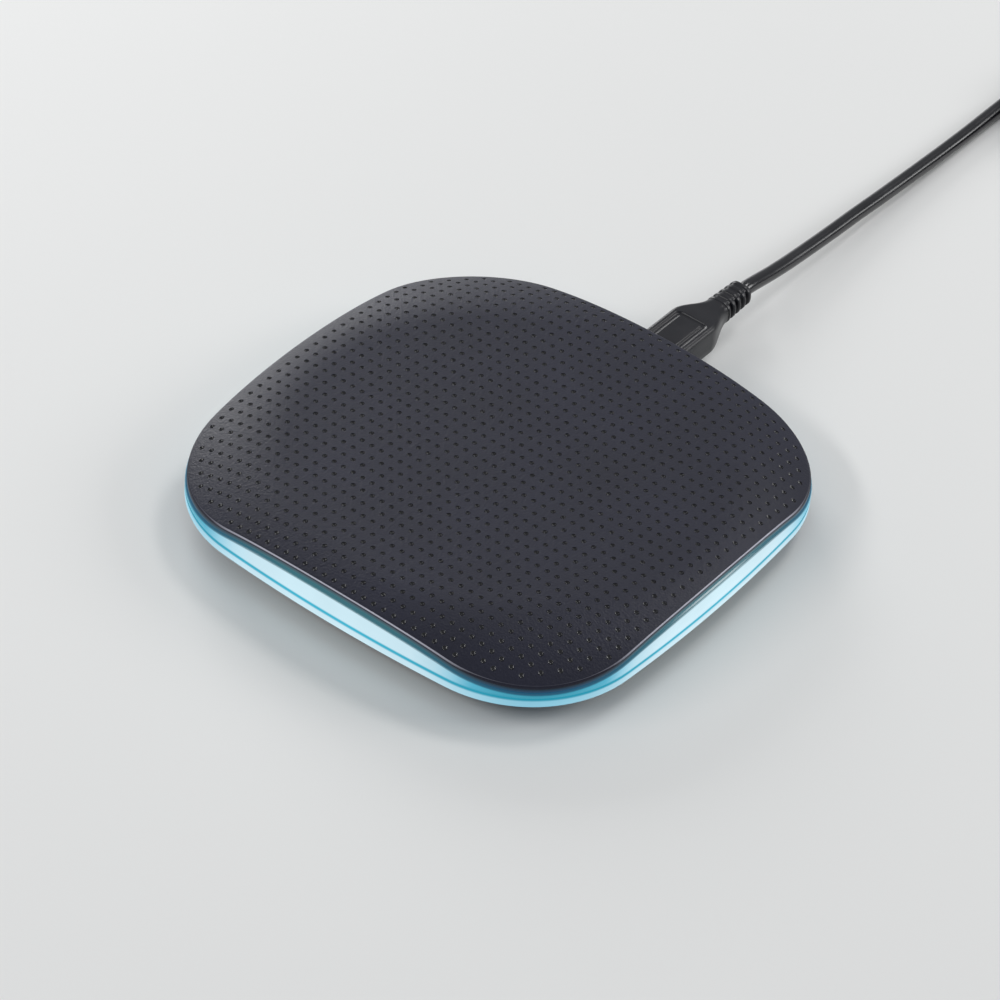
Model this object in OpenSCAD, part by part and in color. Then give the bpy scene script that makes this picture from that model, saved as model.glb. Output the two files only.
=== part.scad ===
// Wireless charging pad with its USB lead. The pad is a rounded square, 97 mm across, with a
// domed and dimpled cover, a translucent light ring below it and a black base on rubber feet.
// Millimetres, +Z up. The origin is on the surface that the pad stands on, under its centre.
// +Y points out of the USB socket, along the lead.

/* [Pad outline] */
// Width of the pad across the light ring
pad_w = 97; // [92:0.5:117]
// Radius of the ring's gently bowed sides
ring_side_r = 320; // [250:10:600]
// Radius of the ring's corners
ring_corner_r = 24.5; // [20:0.5:28]
// How far the cover's edge sits inside the ring's
cover_step = 0.6; // [0.3:0.1:1.5]
// Radius of the cover's bowed sides
cover_side_r = 420; // [300:10:700]
// Radius of the cover's corners
cover_corner_r = 24; // [20:0.5:28]

/* [Pad section] */
// Height of the pad, from the surface to the top of the cover
pad_h = 12.8; // [12.4:0.1:16]
// Distance from the cover's edge in to the flat part of its top
cover_shoulder = 8.9; // [6:0.1:12]
// How far the cover's top drops at the corners
cover_drop = 4.2; // [3:0.1:4.4]
// Thickness of the grip skin
skin_t = 0.5; // [0.4:0.1:1]
// Thickness of the top plate under the skin
plate_t = 0.9; // [0.8:0.1:1.4]
// Height of the light ring's lower face above the surface
ring_z = 4.2; // [4:0.1:4.6]
// How far the feet stand out of the base
foot_out = 0.8; // [0.5:0.1:1.2]
// Thickness of the base's floor
floor_t = 1.4; // [1.2:0.1:1.6]

/* [Light ring] */
// Thickness of the ring's outer wall
ring_wall = 2.2; // [1.6:0.1:2.6]
// Width of the flange that sits on the base, from the ring's face inwards
ring_flange_w = 3.5; // [3:0.1:4]
// Thickness of that flange
ring_flange_h = 1; // [0.6:0.1:1.2]
// Height of the groove round the ring above its lower face
groove_up = 1.75; // [1.5:0.05:2.2]
// Height of the groove itself
groove_h = 0.3; // [0.2:0.05:0.5]
// Depth of the groove
groove_d = 0.4; // [0.2:0.05:0.8]

/* [Base and screws] */
// How far the base's wall sits inside the ring's face
base_inset = 2.3; // [2:0.1:2.8]
// Thickness of the base's wall
base_wall = 2.5; // [2.2:0.1:3]
// Distance from the base's wall in to the flat part of its underside
base_shoulder = 8.2; // [7:0.1:10]
// How far the underside rises at the corners
base_rise = 2.8; // [1.5:0.1:3]
// Radius of a foot
foot_r = 4.5; // [3.5:0.1:5]
// Depth of a foot's seat in the base
foot_seat = 0.4; // [0.2:0.05:0.5]
// Radius of the screws' thread
screw_r = 0.95; // [0.8:0.05:1.1]
// Radius of the screws' heads
screw_head_r = 1.9; // [1.6:0.05:2]
// Height of the screws' heads
screw_head_h = 1.3; // [1:0.05:1.4]
// Length of the screws below the head
screw_len = 7; // [6:0.5:7.5]

/* [Charging coil] */
// Outer radius of the coil
coil_r = 22; // [20:0.5:24]
// Radius of the hole in the middle of the coil
coil_hole_r = 10; // [8:0.5:12]
// Thickness of the coil
coil_t = 1.8; // [1.2:0.1:2.2]
// Turns that show across the coil's face
coil_turns = 10; // [6:1:12]
// Radius of the ferrite plate
ferrite_r = 25; // [24.5:0.5:26]
// Thickness of the ferrite plate
ferrite_t = 2; // [1.5:0.1:2.2]
// Thickness of the adhesive tape between the coil and the top plate
tape_t = 0.4; // [0.2:0.1:0.6]

/* [Circuit board] */
// Thickness of the board
board_t = 1; // [0.8:0.1:1.2]
// Height of the board above the base's floor
board_gap = 1.7; // [1.2:0.1:2]
// Light-emitting diodes along each side
leds_per_side = 4; // [2:1:5]
// Distance between the diodes
led_pitch = 12; // [8:1:12]

/* [Micro-USB plug and socket] */
// Width of the plug's metal shell
plug_shell_w = 6.85; // [6.5:0.05:7]
// Height of the plug's metal shell
plug_shell_h = 1.8; // [1.7:0.05:1.9]
// Length of the metal shell outside the moulded body
plug_shell_len = 6; // [5.5:0.1:6.4]
// Clearance between the plug's shell and the socket's, on each side
plug_clear = 0.1; // [0.06:0.01:0.15]
// Thickness of the plug's and the socket's sheet metal
sheet_t = 0.3; // [0.2:0.05:0.3]
// Width of the plug's moulded body
plug_body_w = 9.8; // [9:0.1:11]
// Thickness of the plug's moulded body
plug_body_t = 6.2; // [5.6:0.1:7]
// Radius of the plug body's long edges
plug_corner_r = 0.9; // [0.5:0.1:2]
// Length of the plug's straight body
plug_body_len = 10; // [8:0.5:14]
// Length of the taper from the body to the strain relief
plug_taper_len = 8.5; // [4:0.5:10]
// Length of the ribbed strain relief
relief_len = 8; // [6:0.1:12]

/* [Lead] */
// Diameter of the cable
cable_d = 3; // [2.8:0.1:3.2]
// Turns lying side by side in the coiled lead's lower layer
lead_turns = 4; // [3:1:5]

/* [Hidden] */
$fn = 48;

// Outlines are drawn in this many straight steps along each side and round each corner.
side_steps = 12;
corner_steps = 20;
cut = 1; // how far a cutter runs past the face that it cuts

// Heights, from the surface up
floor_z = foot_out + floor_t;
board_z = floor_z + board_gap;
board_top = board_z + board_t;
skin_under = pad_h - skin_t;
plate_under = skin_under - plate_t;
coil_top = plate_under - tape_t;
ferrite_z = coil_top - coil_t - ferrite_t;
foot_top = foot_out + foot_seat;

// The pad's outline and domes
half_w = pad_w / 2;
cover_half = half_w - cover_step;
cover_diag = corner_reach(cover_half, cover_side_r, cover_corner_r);
cover_flat_r = cover_half - cover_shoulder;
cover_dome_r = arc_radius(cover_diag - cover_flat_r, cover_drop);
base_half = half_w - base_inset;
base_diag = corner_reach(half_w, ring_side_r, ring_corner_r) - base_inset;
base_flat_r = base_half - base_shoulder;
base_dome_r = arc_radius(base_diag - base_flat_r, base_rise);
cavity_inset = base_inset + base_wall;

// Locating lips: a corner lip on the base inside the ring's flange, and one under the top plate
fit_gap = 0.2;
seat_gap = 0.05; // between the ring's top and the plate that it carries
base_lip_h = 1.4;
base_lip_from = 20; // the lip stands only beyond this far from both centre lines
plate_lip_t = 1.2;
plate_lip_h = 1.2;

// Carrier under the ferrite
carrier_wall = 1.3;
carrier_r = ferrite_r + fit_gap + carrier_wall;
carrier_ledge_t = 1;
carrier_ledge_w = 3;
carrier_lip_h = 1.6;
carrier_leg_r = 1.6;
carrier_leg_in = 2; // the legs stand this far inside the carrier's rim
lead_slot_w = 3.2;

// Screw columns. Each screw comes up through the base and the board into the top plate.
foot_gap = 0.1;
foot_bevel = 0.4;
foot_edge_gap = 0.3; // between a foot and the end of the underside's flat part
base_pin_r = 3;
base_pin_up = 0.4; // the base's pins stand this far above the board
base_pin_top = board_top + base_pin_up;
column_r = max(base_flat_r - foot_r - foot_edge_gap, carrier_r + base_pin_r + fit_gap);
column_xy = column_r / sqrt(2);
board_hole_r = base_pin_r + fit_gap;
shoulder_r = 4.4;
head_gap = 0.2;
head_z = foot_top + head_gap;
head_top = head_z + screw_head_h;
plate_boss_r = 2.6;
thread_gap = 0.05;
thread_spare = 0.5; // a boss is bored this far past its screw
screw_head_edge = 0.3;
screw_head_bevel = 0.4;
screw_point_r = 0.3;
screw_point_len = 0.8;
drive_slot = [2.2, 0.5, 0.7];

// Board
inductor_w = 7;
inductor_in = 5; // the inductor's middle is this far inside the board's edge
inductor_gap = 0.5;
board_edge_in = 10.5; // the board's edge is this far inside the ring's face
board_half = max(half_w - board_edge_in, carrier_r + inductor_gap + inductor_w / 2 + inductor_in);
board_corner_out = 5; // the board's round corners reach this far past the flat underside
board_corner_r = base_flat_r + board_corner_out;
tongue_w = 12;
tongue_y = half_w - ring_flange_w - fit_gap;

// Micro-USB socket and plug
socket_in_w = plug_shell_w + 2 * plug_clear;
socket_in_h = plug_shell_h + 2 * plug_clear;
socket_w = socket_in_w + 2 * sheet_t;
socket_h = socket_in_h + 2 * sheet_t;
socket_z = board_top + socket_h / 2;
socket_in = 0.5; // the socket's mouth sits this far inside the ring's face
socket_front = half_w - socket_in;
socket_len = 6;
socket_back = socket_front - socket_len;
socket_base_t = 0.6;
usb_corner = 0.7; // how far the micro-USB section's lower corners are cut off
socket_tab = [0.9, 1.6];
socket_tab_out = 0.15;
port_gap = 0.25;
tongue_t = 0.5;
tongue_root_t = 1.1;
tongue_end_in = 1.8; // the tongue ends this far inside the socket's mouth
socket_tongue_w = 4.6;
socket_tongue_up = 0.25; // the tongue sits this far above the plug's middle
plug_gap = 0.4; // between the ring's face and the plug's moulded body
plug_nose = half_w + plug_gap;
plug_tip = plug_nose - plug_shell_len;
plug_in_w = plug_shell_w - 2 * sheet_t;
plug_in_h = plug_shell_h - 2 * sheet_t;
insert_side = 0.55;
insert_floor = 0.3;
insert_back_len = 1.6;
contact_count = 5;
contact_pitch = 0.65;
contact_w = 0.3;
contact_t = 0.08;
contact_in = 0.6; // the contacts start this far from the end of what carries them
relief_from = plug_nose + plug_body_len + plug_taper_len;
cable_exit = relief_from + relief_len;

// Lead. Each route runs from the plug's strain relief; its points are [x, distance along +Y from
// the strain relief's end, height], and the coil lies between the two routes.
cable_r = cable_d / 2;
lead_route = [
    [0, 0, 6.2], [0, 2, 6.2], [0, 6, 5.6], [0, 10, 4.95], [0, 16, 4.25], [0, 24, 3.6], [0, 32, 3.1],
    [0, 40, 2.7], [0.1, 48, 2.3], [0.2, 56, 2], [0.3, 64, 1.75], [0.4, 72, 1.55],
    [0.5, 80, 1.5], [0.5, 88, 1.5], [0.5, 96, 1.5], [0.5, 103, 1.5], [0.5, 109, 1.5]
];
tail_route = [
    [24.7, 131, 4.6], [31, 131.5, 4.5], [38, 130.5, 4], [45, 128, 3.3], [51, 124, 2.8],
    [56, 119, 2.8], [59, 113, 3.4], [60, 108, 4], [60, 103, 4]
];
coil_at = [24.7, 109];
lead_pitch = 3.1;
lead_coil_r = 24.2;
lead_layer = 3.1;
tie_w = 8;
tie_t = 0.6;
tie_turn = -50;

// USB-A plug, lying flat on the surface beside the coil
usb_a_at = [60, 103, 4];
usb_a_relief_len = 10;
usb_a_body_len = 22;
usb_a_body_w = 15.8;
usb_a_body_t = 8;
usb_a_shell_w = 12;
usb_a_shell_h = 4.5;
usb_a_shell_len = 12;
usb_a_tongue_t = 1.9;
usb_a_back = 2;
usb_a_corner = 0.3; // inside the shell's bends

// Reach of a rounded square to its corner, along the diagonal
function corner_centre(half, side, corner) =
    (half - side + sqrt(2 * pow(side - corner, 2) - pow(side - half, 2))) / 2;
function corner_reach(half, side, corner) = sqrt(2) * corner_centre(half, side, corner) + corner;

// Radius of an arc that starts level and drops by fall over a distance of run
function arc_radius(run, fall) = (run * run + fall * fall) / (2 * fall);

// A rounded square: four wide arcs for its sides, joined by four corner arcs, all tangent
function rounded_square(half, side, corner) =
    let (c = corner_centre(half, side, corner), swing = atan2(c, c + side - half))
    [for (q = [0:3])
        each concat(
            [for (i = [0:side_steps - 1])
                let (a = -swing + 2 * swing * i / side_steps)
                turn_point([half - side + side * cos(a), side * sin(a)], 90 * q)],
            [for (i = [0:corner_steps - 1])
                let (a = swing + (90 - 2 * swing) * i / corner_steps)
                turn_point([c + corner * cos(a), c + corner * sin(a)], 90 * q)])];
function turn_point(p, a) = [p.x * cos(a) - p.y * sin(a), p.x * sin(a) + p.y * cos(a)];

// A rectangle with round corners, as points
function round_rect(w, h, r, steps = 6) =
    [for (q = [0:3], i = [0:steps])
        let (a = 90 * (q + i / steps))
        [(q == 0 || q == 3 ? 1 : -1) * (w / 2 - r) + r * cos(a),
         (q < 2 ? 1 : -1) * (h / 2 - r) + r * sin(a)]];

// The micro-USB section: wide at the top, with its two lower corners cut off
function micro_usb_section(w, h, corner = usb_corner) =
    [[-w / 2, h / 2], [-w / 2, corner - h / 2], [corner - w / 2, -h / 2],
     [w / 2 - corner, -h / 2], [w / 2, corner - h / 2], [w / 2, h / 2]];

module ring_prism(inset, from, to)
    translate([0, 0, from])
        linear_extrude(to - from)
            polygon(rounded_square(half_w - inset, ring_side_r - inset, ring_corner_r - inset));

module cover_prism(from, to)
    translate([0, 0, from])
        linear_extrude(to - from)
            polygon(rounded_square(cover_half, cover_side_r, cover_corner_r));

// What lies outside a domed top: everything above a level that falls away in an arc past flat_r
module above_dome(level, flat_r, dome_r)
    rotate_extrude($fn = 96)
        difference() {
            translate([flat_r, level - pad_h]) square([dome_r, pad_h + cut]);
            translate([flat_r, level - dome_r]) circle(dome_r, $fn = 180);
        }

// A solid with that domed top
module below_dome(level, flat_r, dome_r)
    difference() {
        translate([0, 0, -cut]) cylinder(r = half_w * 1.5, h = level + cut);
        above_dome(level, flat_r, dome_r);
    }

module trim_to_cover(level)
    union() {
        translate([0, 0, level]) cylinder(r = half_w * 1.5, h = pad_h);
        above_dome(level, cover_flat_r, cover_dome_r);
    }

// What lies under the base's rising underside, when its flat part is at this level
module under_base(level)
    translate([0, 0, level])
        mirror([0, 0, 1])
            translate([0, 0, -pad_h])
                above_dome(pad_h, base_flat_r, base_dome_r);

module at_columns()
    for (x = [-1, 1], y = [-1, 1])
        translate([x * column_xy, y * column_xy, 0])
            children();

// Along +Y from a point, with the section in X and Z
module along_y(y, z, len, points)
    translate([0, y + len, z])
        rotate([90, 0, 0])
            linear_extrude(len)
                polygon(points);

module block(size, at)
    translate([at.x - size.x / 2, at.y - size.y / 2, at.z])
        cube(size);

// Pad -----------------------------------------------------------------------------------

module grip_skin()
    color("#2b2b31")
    difference() {
        cover_prism(0, pad_h);
        above_dome(pad_h, cover_flat_r, cover_dome_r);
        below_dome(skin_under, cover_flat_r, cover_dome_r);
    }

module top_plate()
    color("#1b1c20")
    difference() {
        union() {
            difference() {
                cover_prism(0, skin_under);
                above_dome(skin_under, cover_flat_r, cover_dome_r);
                below_dome(plate_under, cover_flat_r, cover_dome_r);
            }
            difference() {
                ring_prism(ring_wall + fit_gap, 0, skin_under);
                ring_prism(ring_wall + fit_gap + plate_lip_t, -cut, pad_h);
                trim_to_cover(plate_under + plate_t / 2);
                below_dome(plate_under - plate_lip_h, cover_flat_r, cover_dome_r);
                // room for the socket's shell
                translate([-socket_w, half_w / 2, 0]) cube([2 * socket_w, half_w, pad_h]);
            }
            at_columns()
                translate([0, 0, base_pin_top])
                    cylinder(r = plate_boss_r, h = plate_under - base_pin_top + plate_t / 2);
        }
        at_columns()
            translate([0, 0, base_pin_top - cut])
                cylinder(r = screw_r + thread_gap,
                         h = head_top + screw_len + thread_spare - base_pin_top + cut);
    }

// The opening that the socket's shell shows through
module port()
    translate([0, half_w - ring_wall, socket_z])
        cube([socket_w + 2 * port_gap, 3 * ring_wall, socket_h + 2 * port_gap], center = true);

module light_ring()
    color("#a9ecf6")
    difference() {
        ring_prism(0, ring_z, pad_h);
        ring_prism(ring_wall, ring_z + ring_flange_h, pad_h + cut);
        ring_prism(ring_flange_w, ring_z - cut, ring_z + ring_flange_h + cut);
        trim_to_cover(plate_under - seat_gap);
        difference() {
            ring_prism(-cut, ring_z + groove_up, ring_z + groove_up + groove_h);
            ring_prism(groove_d, ring_z, pad_h);
        }
        port();
    }

module base_shell()
    color("#17181b")
    difference() {
        union() {
            difference() {
                ring_prism(base_inset, foot_out, ring_z);
                under_base(foot_out);
                difference() {
                    ring_prism(cavity_inset, floor_z, pad_h);
                    under_base(floor_z);
                }
            }
            intersection() {
                difference() {
                    ring_prism(ring_flange_w + fit_gap, ring_z - cut, ring_z + base_lip_h);
                    ring_prism(cavity_inset, 0, pad_h);
                }
                for (x = [-1, 1], y = [-1, 1])
                    translate([x * (base_lip_from + half_w / 2), y * (base_lip_from + half_w / 2), 0])
                        cube([half_w, half_w, pad_h], center = true);
            }
            at_columns() {
                translate([0, 0, foot_top])
                    cylinder(r = shoulder_r, h = board_z - foot_top);
                translate([0, 0, foot_top])
                    cylinder(r = base_pin_r, h = base_pin_top - foot_top);
            }
        }
        at_columns() {
            cylinder(r = foot_r + foot_gap, h = foot_top);
            cylinder(r = screw_head_r + fit_gap, h = head_top);
            cylinder(r = screw_r + fit_gap, h = base_pin_top + cut);
        }
        port();
        // notch for the board's tongue
        block([tongue_w + 2 * fit_gap, 2 * base_wall, pad_h],
              [0, tongue_y + fit_gap - base_wall, board_z - fit_gap]);
    }

module rubber_feet()
    color("#2a2a2a")
    at_columns()
        rotate_extrude()
            polygon([[0, 0], [foot_r - foot_bevel, 0], [foot_r, foot_bevel], [foot_r, foot_top],
                     [0, foot_top]]);

module base_screws()
    color("silver")
    at_columns()
        difference() {
            rotate_extrude()
                polygon([
                    [0, head_z], [screw_head_r - screw_head_edge, head_z],
                    [screw_head_r, head_z + screw_head_bevel],
                    [screw_head_r, head_top], [screw_r, head_top],
                    [screw_r, head_top + screw_len - screw_point_len],
                    [screw_point_r, head_top + screw_len], [0, head_top + screw_len]
                ]);
            for (a = [0, 90])
                rotate(a)
                    block(drive_slot + [0, 0, cut], [0, 0, head_z - cut]);
        }

module main_board()
    color("#1d6b45")
    difference() {
        translate([0, 0, board_z])
            linear_extrude(board_t)
                union() {
                    intersection() {
                        circle(board_corner_r, $fn = 120);
                        square(2 * board_half, center = true);
                    }
                    translate([-tongue_w / 2, 0]) square([tongue_w, tongue_y]);
                }
        at_columns()
            translate([0, 0, board_z - cut])
                cylinder(r = board_hole_r, h = board_t + 2 * cut);
    }

module coil_carrier()
    color("#e4e2dc")
    difference() {
        union() {
            translate([0, 0, ferrite_z - carrier_ledge_t])
                cylinder(r = carrier_r, h = carrier_ledge_t + carrier_lip_h, $fn = 96);
            for (a = [0:90:270])
                rotate(a)
                    translate([0, carrier_r - carrier_leg_in, board_top])
                        cylinder(r = carrier_leg_r, h = ferrite_z - carrier_ledge_t / 2 - board_top);
        }
        translate([0, 0, ferrite_z - carrier_ledge_t - cut])
            cylinder(r = ferrite_r - carrier_ledge_w, h = carrier_ledge_t + 2 * cut, $fn = 96);
        translate([0, 0, ferrite_z])
            cylinder(r = ferrite_r + fit_gap, h = carrier_lip_h + cut, $fn = 96);
        // way out for the coil's leads
        rotate(-45)
            block([carrier_r, lead_slot_w, coil_t + 2 * ferrite_t],
                  [carrier_r, 0, ferrite_z - carrier_ledge_t - cut]);
    }

sensor_hole_r = 1.8; // in the middle of the ferrite, for the temperature sensor
lead_slot_in = 1.5; // the ferrite's slot starts this far inside the coil's hole

module ferrite_plate()
    color("#4a4a4e")
    difference() {
        translate([0, 0, ferrite_z]) cylinder(r = ferrite_r, h = ferrite_t, $fn = 96);
        translate([0, 0, ferrite_z - cut]) cylinder(r = sensor_hole_r, h = ferrite_t + 2 * cut);
        rotate(-45)
            block([ferrite_r, lead_slot_w, ferrite_t + 2 * cut],
                  [coil_hole_r - lead_slot_in + ferrite_r / 2, 0, ferrite_z - cut]);
    }

turn_w = (coil_r - coil_hole_r) / coil_turns;
valley_depth = 0.25;
valley_half = 0.1;

module charging_coil()
    color("#b8632c")
    difference() {
        translate([0, 0, ferrite_z + ferrite_t])
            cylinder(r = coil_r, h = coil_t, $fn = 96);
        translate([0, 0, ferrite_z])
            cylinder(r = coil_hole_r, h = ferrite_t + coil_t + cut, $fn = 96);
        // the valley between one turn and the next
        for (i = [1:coil_turns - 1])
            translate([0, 0, coil_top - valley_depth])
                difference() {
                    cylinder(r = coil_hole_r + i * turn_w + valley_half, h = cut, $fn = 96);
                    translate([0, 0, -cut])
                        cylinder(r = coil_hole_r + i * turn_w - valley_half, h = 3 * cut, $fn = 96);
                }
    }

// Two enamelled ends, through the ferrite's slot and down to the board
lead_wire_r = 0.6;
lead_wire_z = ferrite_z + ferrite_t - lead_wire_r - 0.1; // just under the coil
lead_wire_out = carrier_r - 0.8; // inside the carrier's wall
lead_wire_apart = 1.6;
lead_wire_from = [coil_hole_r - 0.5, coil_r - 2]; // the inner end and the outer end

module coil_leads()
    color("#c9762f")
    rotate(-45)
        for (i = [0, 1])
            translate([0, (i - 0.5) * lead_wire_apart, 0]) {
                translate([lead_wire_from[i], 0, lead_wire_z])
                    rotate([0, 90, 0])
                        cylinder(r = lead_wire_r, h = lead_wire_out - lead_wire_from[i]);
                translate([lead_wire_out, 0, board_top])
                    cylinder(r = lead_wire_r, h = lead_wire_z - board_top);
                translate([lead_wire_out, 0, lead_wire_z])
                    sphere(r = lead_wire_r);
            }

tape_in = 1; // the tape's rim sits this far inside the coil's
tape_hole_r = 5;

module coil_tape()
    color("#d9d2b8")
    translate([0, 0, coil_top])
        difference() {
            cylinder(r = coil_r - tape_in, h = tape_t, $fn = 96);
            translate([0, 0, -cut]) cylinder(r = tape_hole_r, h = tape_t + 2 * cut);
        }

module socket_shell()
    color("silver")
    union() {
        difference() {
            along_y(socket_back, socket_z, socket_len,
                    micro_usb_section(socket_w, socket_h, usb_corner + sheet_t / 2));
            along_y(socket_back + socket_base_t, socket_z, socket_len,
                    micro_usb_section(socket_in_w, socket_in_h));
            along_y(socket_back - cut, socket_z, socket_len,
                    micro_usb_section(socket_tongue_w, tongue_root_t, 0.1));
        }
        // solder tabs on the board, one each side
        for (x = [-1, 1])
            block([socket_tab.x, socket_tab.y, sheet_t],
                  [x * (socket_w / 2 + socket_tab_out), socket_back + socket_tab.y, board_top]);
    }

module socket_tongue()
    color("#202020")
    union() {
        along_y(socket_back, socket_z, socket_base_t - 0.1, // stops short of the shell's floor
                micro_usb_section(socket_tongue_w, tongue_root_t, 0.1));
        block([socket_tongue_w, socket_len - tongue_end_in, tongue_t],
              [0, socket_back + (socket_len - tongue_end_in) / 2,
               socket_z + socket_tongue_up - tongue_t / 2]);
    }

module socket_contacts()
    color("gold")
    for (i = [0:contact_count - 1])
        block([contact_w, socket_len - tongue_end_in - contact_in, contact_t],
              [(i - (contact_count - 1) / 2) * contact_pitch,
               socket_back + (socket_len - tongue_end_in + contact_in) / 2,
               socket_z + socket_tongue_up - tongue_t / 2 - contact_t]);

// Pin-one mark: a shallow round pit near one corner of a chip
pin_mark_r = 0.35;
pin_mark_in = 1;
pin_mark_depth = 0.1;

module chip(size, at)
    difference() {
        block(size, at);
        translate([at.x - size.x / 2 + pin_mark_in, at.y + size.y / 2 - pin_mark_in,
                   at.z + size.z - pin_mark_depth])
            cylinder(r = pin_mark_r, h = cut);
    }

controller_size = [7, 7, 0.9];
controller_at = [-8, 6];

module controller_chip()
    color("#222222")
    chip(controller_size, [controller_at.x, controller_at.y, board_top]);

transistor_size = [5, 6, 1];
transistor_x = [5, 13];
transistor_y = [3, 11];

module power_transistors()
    color("#262626")
    for (x = transistor_x, y = transistor_y)
        chip(transistor_size, [x, y, board_top]);

resonant_size = [3.2, 4.5, 2];
resonant_pitch = 6;
resonant_count = 4;

module resonant_capacitors()
    color("#b59a72")
    for (i = [0:resonant_count - 1])
        block(resonant_size,
              [inductor_in - board_half, (i - (resonant_count - 1) / 2) * resonant_pitch, board_top]);

// A drum of ferrite between two square plates
inductor_foot_t = 0.4;
inductor_drum_r = 3.1;
inductor_drum_h = 2.8;
inductor_top = [6.6, 6.6, 0.8];
inductor_top_up = 2.2;

module power_inductor()
    color("#3c3c3e")
    translate([0, inductor_in - board_half, board_top])
        union() {
            block([inductor_w, inductor_w, inductor_foot_t], [0, 0, 0]);
            cylinder(r = inductor_drum_r, h = inductor_drum_h);
            block(inductor_top, [0, 0, inductor_top_up]);
        }

input_capacitor_size = [2, 3.2, 1.6];
input_capacitor_x = [-14, -10, 10, 14];
input_capacitor_in = 5.5;

module input_capacitors()
    color("#b59a72")
    for (x = input_capacitor_x)
        block(input_capacitor_size, [x, board_half - input_capacitor_in, board_top]);

// A metal can on a slightly wider foot
crystal_foot = [3.2, 2.5, 0.5];
crystal_can = [2.8, 2.1, 0.8];
crystal_at = [-8, -2];

module clock_crystal()
    color("#c8c8cc")
    for (part = [crystal_foot, crystal_can])
        block(part, [crystal_at.x, crystal_at.y, board_top]);

// A dipped bead on two legs, up through the ferrite to just under the cover
sensor_r = 1.1;
sensor_up = 0.7;
sensor_leg_r = 0.25;
sensor_leg_x = 0.6;

module temperature_sensor()
    color("#7a1f1a")
    union() {
        for (x = [-sensor_leg_x, sensor_leg_x])
            translate([x, 0, board_top])
                cylinder(r = sensor_leg_r, h = ferrite_z + ferrite_t + sensor_up / 2 - board_top);
        translate([0, 0, ferrite_z + ferrite_t + sensor_up])
            sphere(r = sensor_r);
    }

// A white package that looks outwards, with its lens standing proud of it
led_size = [3, 1, 1];
led_lens = [2.2, 1.3, 0.6];
led_in = 1.2;
led_lens_in = 0.95;
led_lens_up = 0.2;

module ring_leds()
    color("#eef6f6")
    for (side = [0:3], i = [0:leds_per_side - 1])
        rotate(90 * side)
            translate([(i - (leds_per_side - 1) / 2) * led_pitch, 0, board_top])
                union() {
                    block(led_size, [0, board_half - led_in, 0]);
                    block(led_lens, [0, board_half - led_lens_in, led_lens_up]);
                }

resistor_size = [0.8, 1.6, 0.5];
resistor_pitch = [2, 3];
resistor_at = [-12, -12];
resistor_count = [8, 2];

module chip_resistors()
    color("#303034")
    for (i = [0:resistor_count.x - 1], row = [0:resistor_count.y - 1])
        block(resistor_size,
              [resistor_at.x + i * resistor_pitch.x, resistor_at.y + row * resistor_pitch.y,
               board_top]);

// Lead ----------------------------------------------------------------------------------

module round_slab(y, z, len, w, t, r)
    along_y(y, z, len, round_rect(w, t, r));

// Ribbed strain relief: a core and a row of ribs that shrink towards the cable
relief_ribs = 5;
relief_rib_share = 0.57; // how much of each step is rib, the rest is gap
relief_core_in = 0.6; // the core sits this far inside the last rib
relief_roundness = 0.4; // a rib's corner radius, as a share of its thickness

module strain_relief(y, z, len, w_from, w_to, t_from, t_to)
    union() {
        round_slab(y, z, len, w_to - 2 * relief_core_in, t_to - 2 * relief_core_in,
                   relief_roundness * (t_to - 2 * relief_core_in));
        for (i = [0:relief_ribs - 1])
            let (
                share = i / (relief_ribs - 1),
                step = len / (relief_ribs - 1 + relief_rib_share),
                w = w_from + (w_to - w_from) * share,
                t = t_from + (t_to - t_from) * share
            )
            round_slab(y + i * step, z, step * relief_rib_share, w, t, t * relief_roundness);
    }

taper_end = [5.3, 4.6]; // width and thickness where the taper meets the strain relief
taper_end_r = 1.6;
relief_first = [5.6, 4.8];
relief_last = [5, 4.4];
slice = 0.2;

module micro_plug_body()
    color("#242528")
    union() {
        round_slab(plug_nose, socket_z, plug_body_len, plug_body_w, plug_body_t, plug_corner_r);
        hull() {
            round_slab(plug_nose + plug_body_len - slice, socket_z, slice, plug_body_w, plug_body_t,
                       plug_corner_r);
            round_slab(relief_from, socket_z, slice, taper_end.x, taper_end.y, taper_end_r);
        }
        strain_relief(relief_from, socket_z, relief_len,
                      relief_first.x, relief_last.x, relief_first.y, relief_last.y);
    }

module micro_plug_shell()
    color("silver")
    difference() {
        along_y(plug_tip, socket_z, plug_shell_len,
                micro_usb_section(plug_shell_w, plug_shell_h));
        along_y(plug_tip - cut, socket_z, plug_shell_len + 2 * cut,
                micro_usb_section(plug_in_w, plug_in_h, usb_corner - sheet_t / 2));
        // windows for the two latches
        for (x = [-1, 1])
            block([latch_window.x, latch_window.y, cut],
                  [x * latch_x, plug_tip + latch_hook_in, socket_z]);
    }

// Two sprung latches, in channels along the top of the insert, that hook into the shell's windows
latch_x = plug_in_w / 2 - insert_side / 2;
latch_w = 0.4;
latch_t = 0.2;
latch_channel = 0.3;
latch_from = 1.2;
latch_hook = [0.4, 0.8, 0.48];
latch_hook_in = 1.9;
latch_window = [0.8, 1.4];
insert_in = 0.3; // the insert sits this far inside the shell's mouth
slot_len = plug_shell_len - insert_back_len;

module micro_plug_insert()
    color("#1c1c1c")
    difference() {
        along_y(plug_tip + insert_in, socket_z, plug_shell_len - insert_in,
                micro_usb_section(plug_in_w, plug_in_h, usb_corner - sheet_t / 2));
        // slot for the socket's tongue
        block([plug_in_w - 2 * insert_side, 2 * slot_len, plug_in_h],
              [0, plug_tip, socket_z - plug_in_h / 2 + insert_floor]);
        // channels for the two latches
        for (x = [-1, 1])
            block([insert_side + 0.1, 2 * slot_len, latch_channel],
                  [x * latch_x, plug_tip, socket_z + plug_in_h / 2 - latch_channel]);
    }

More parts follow.
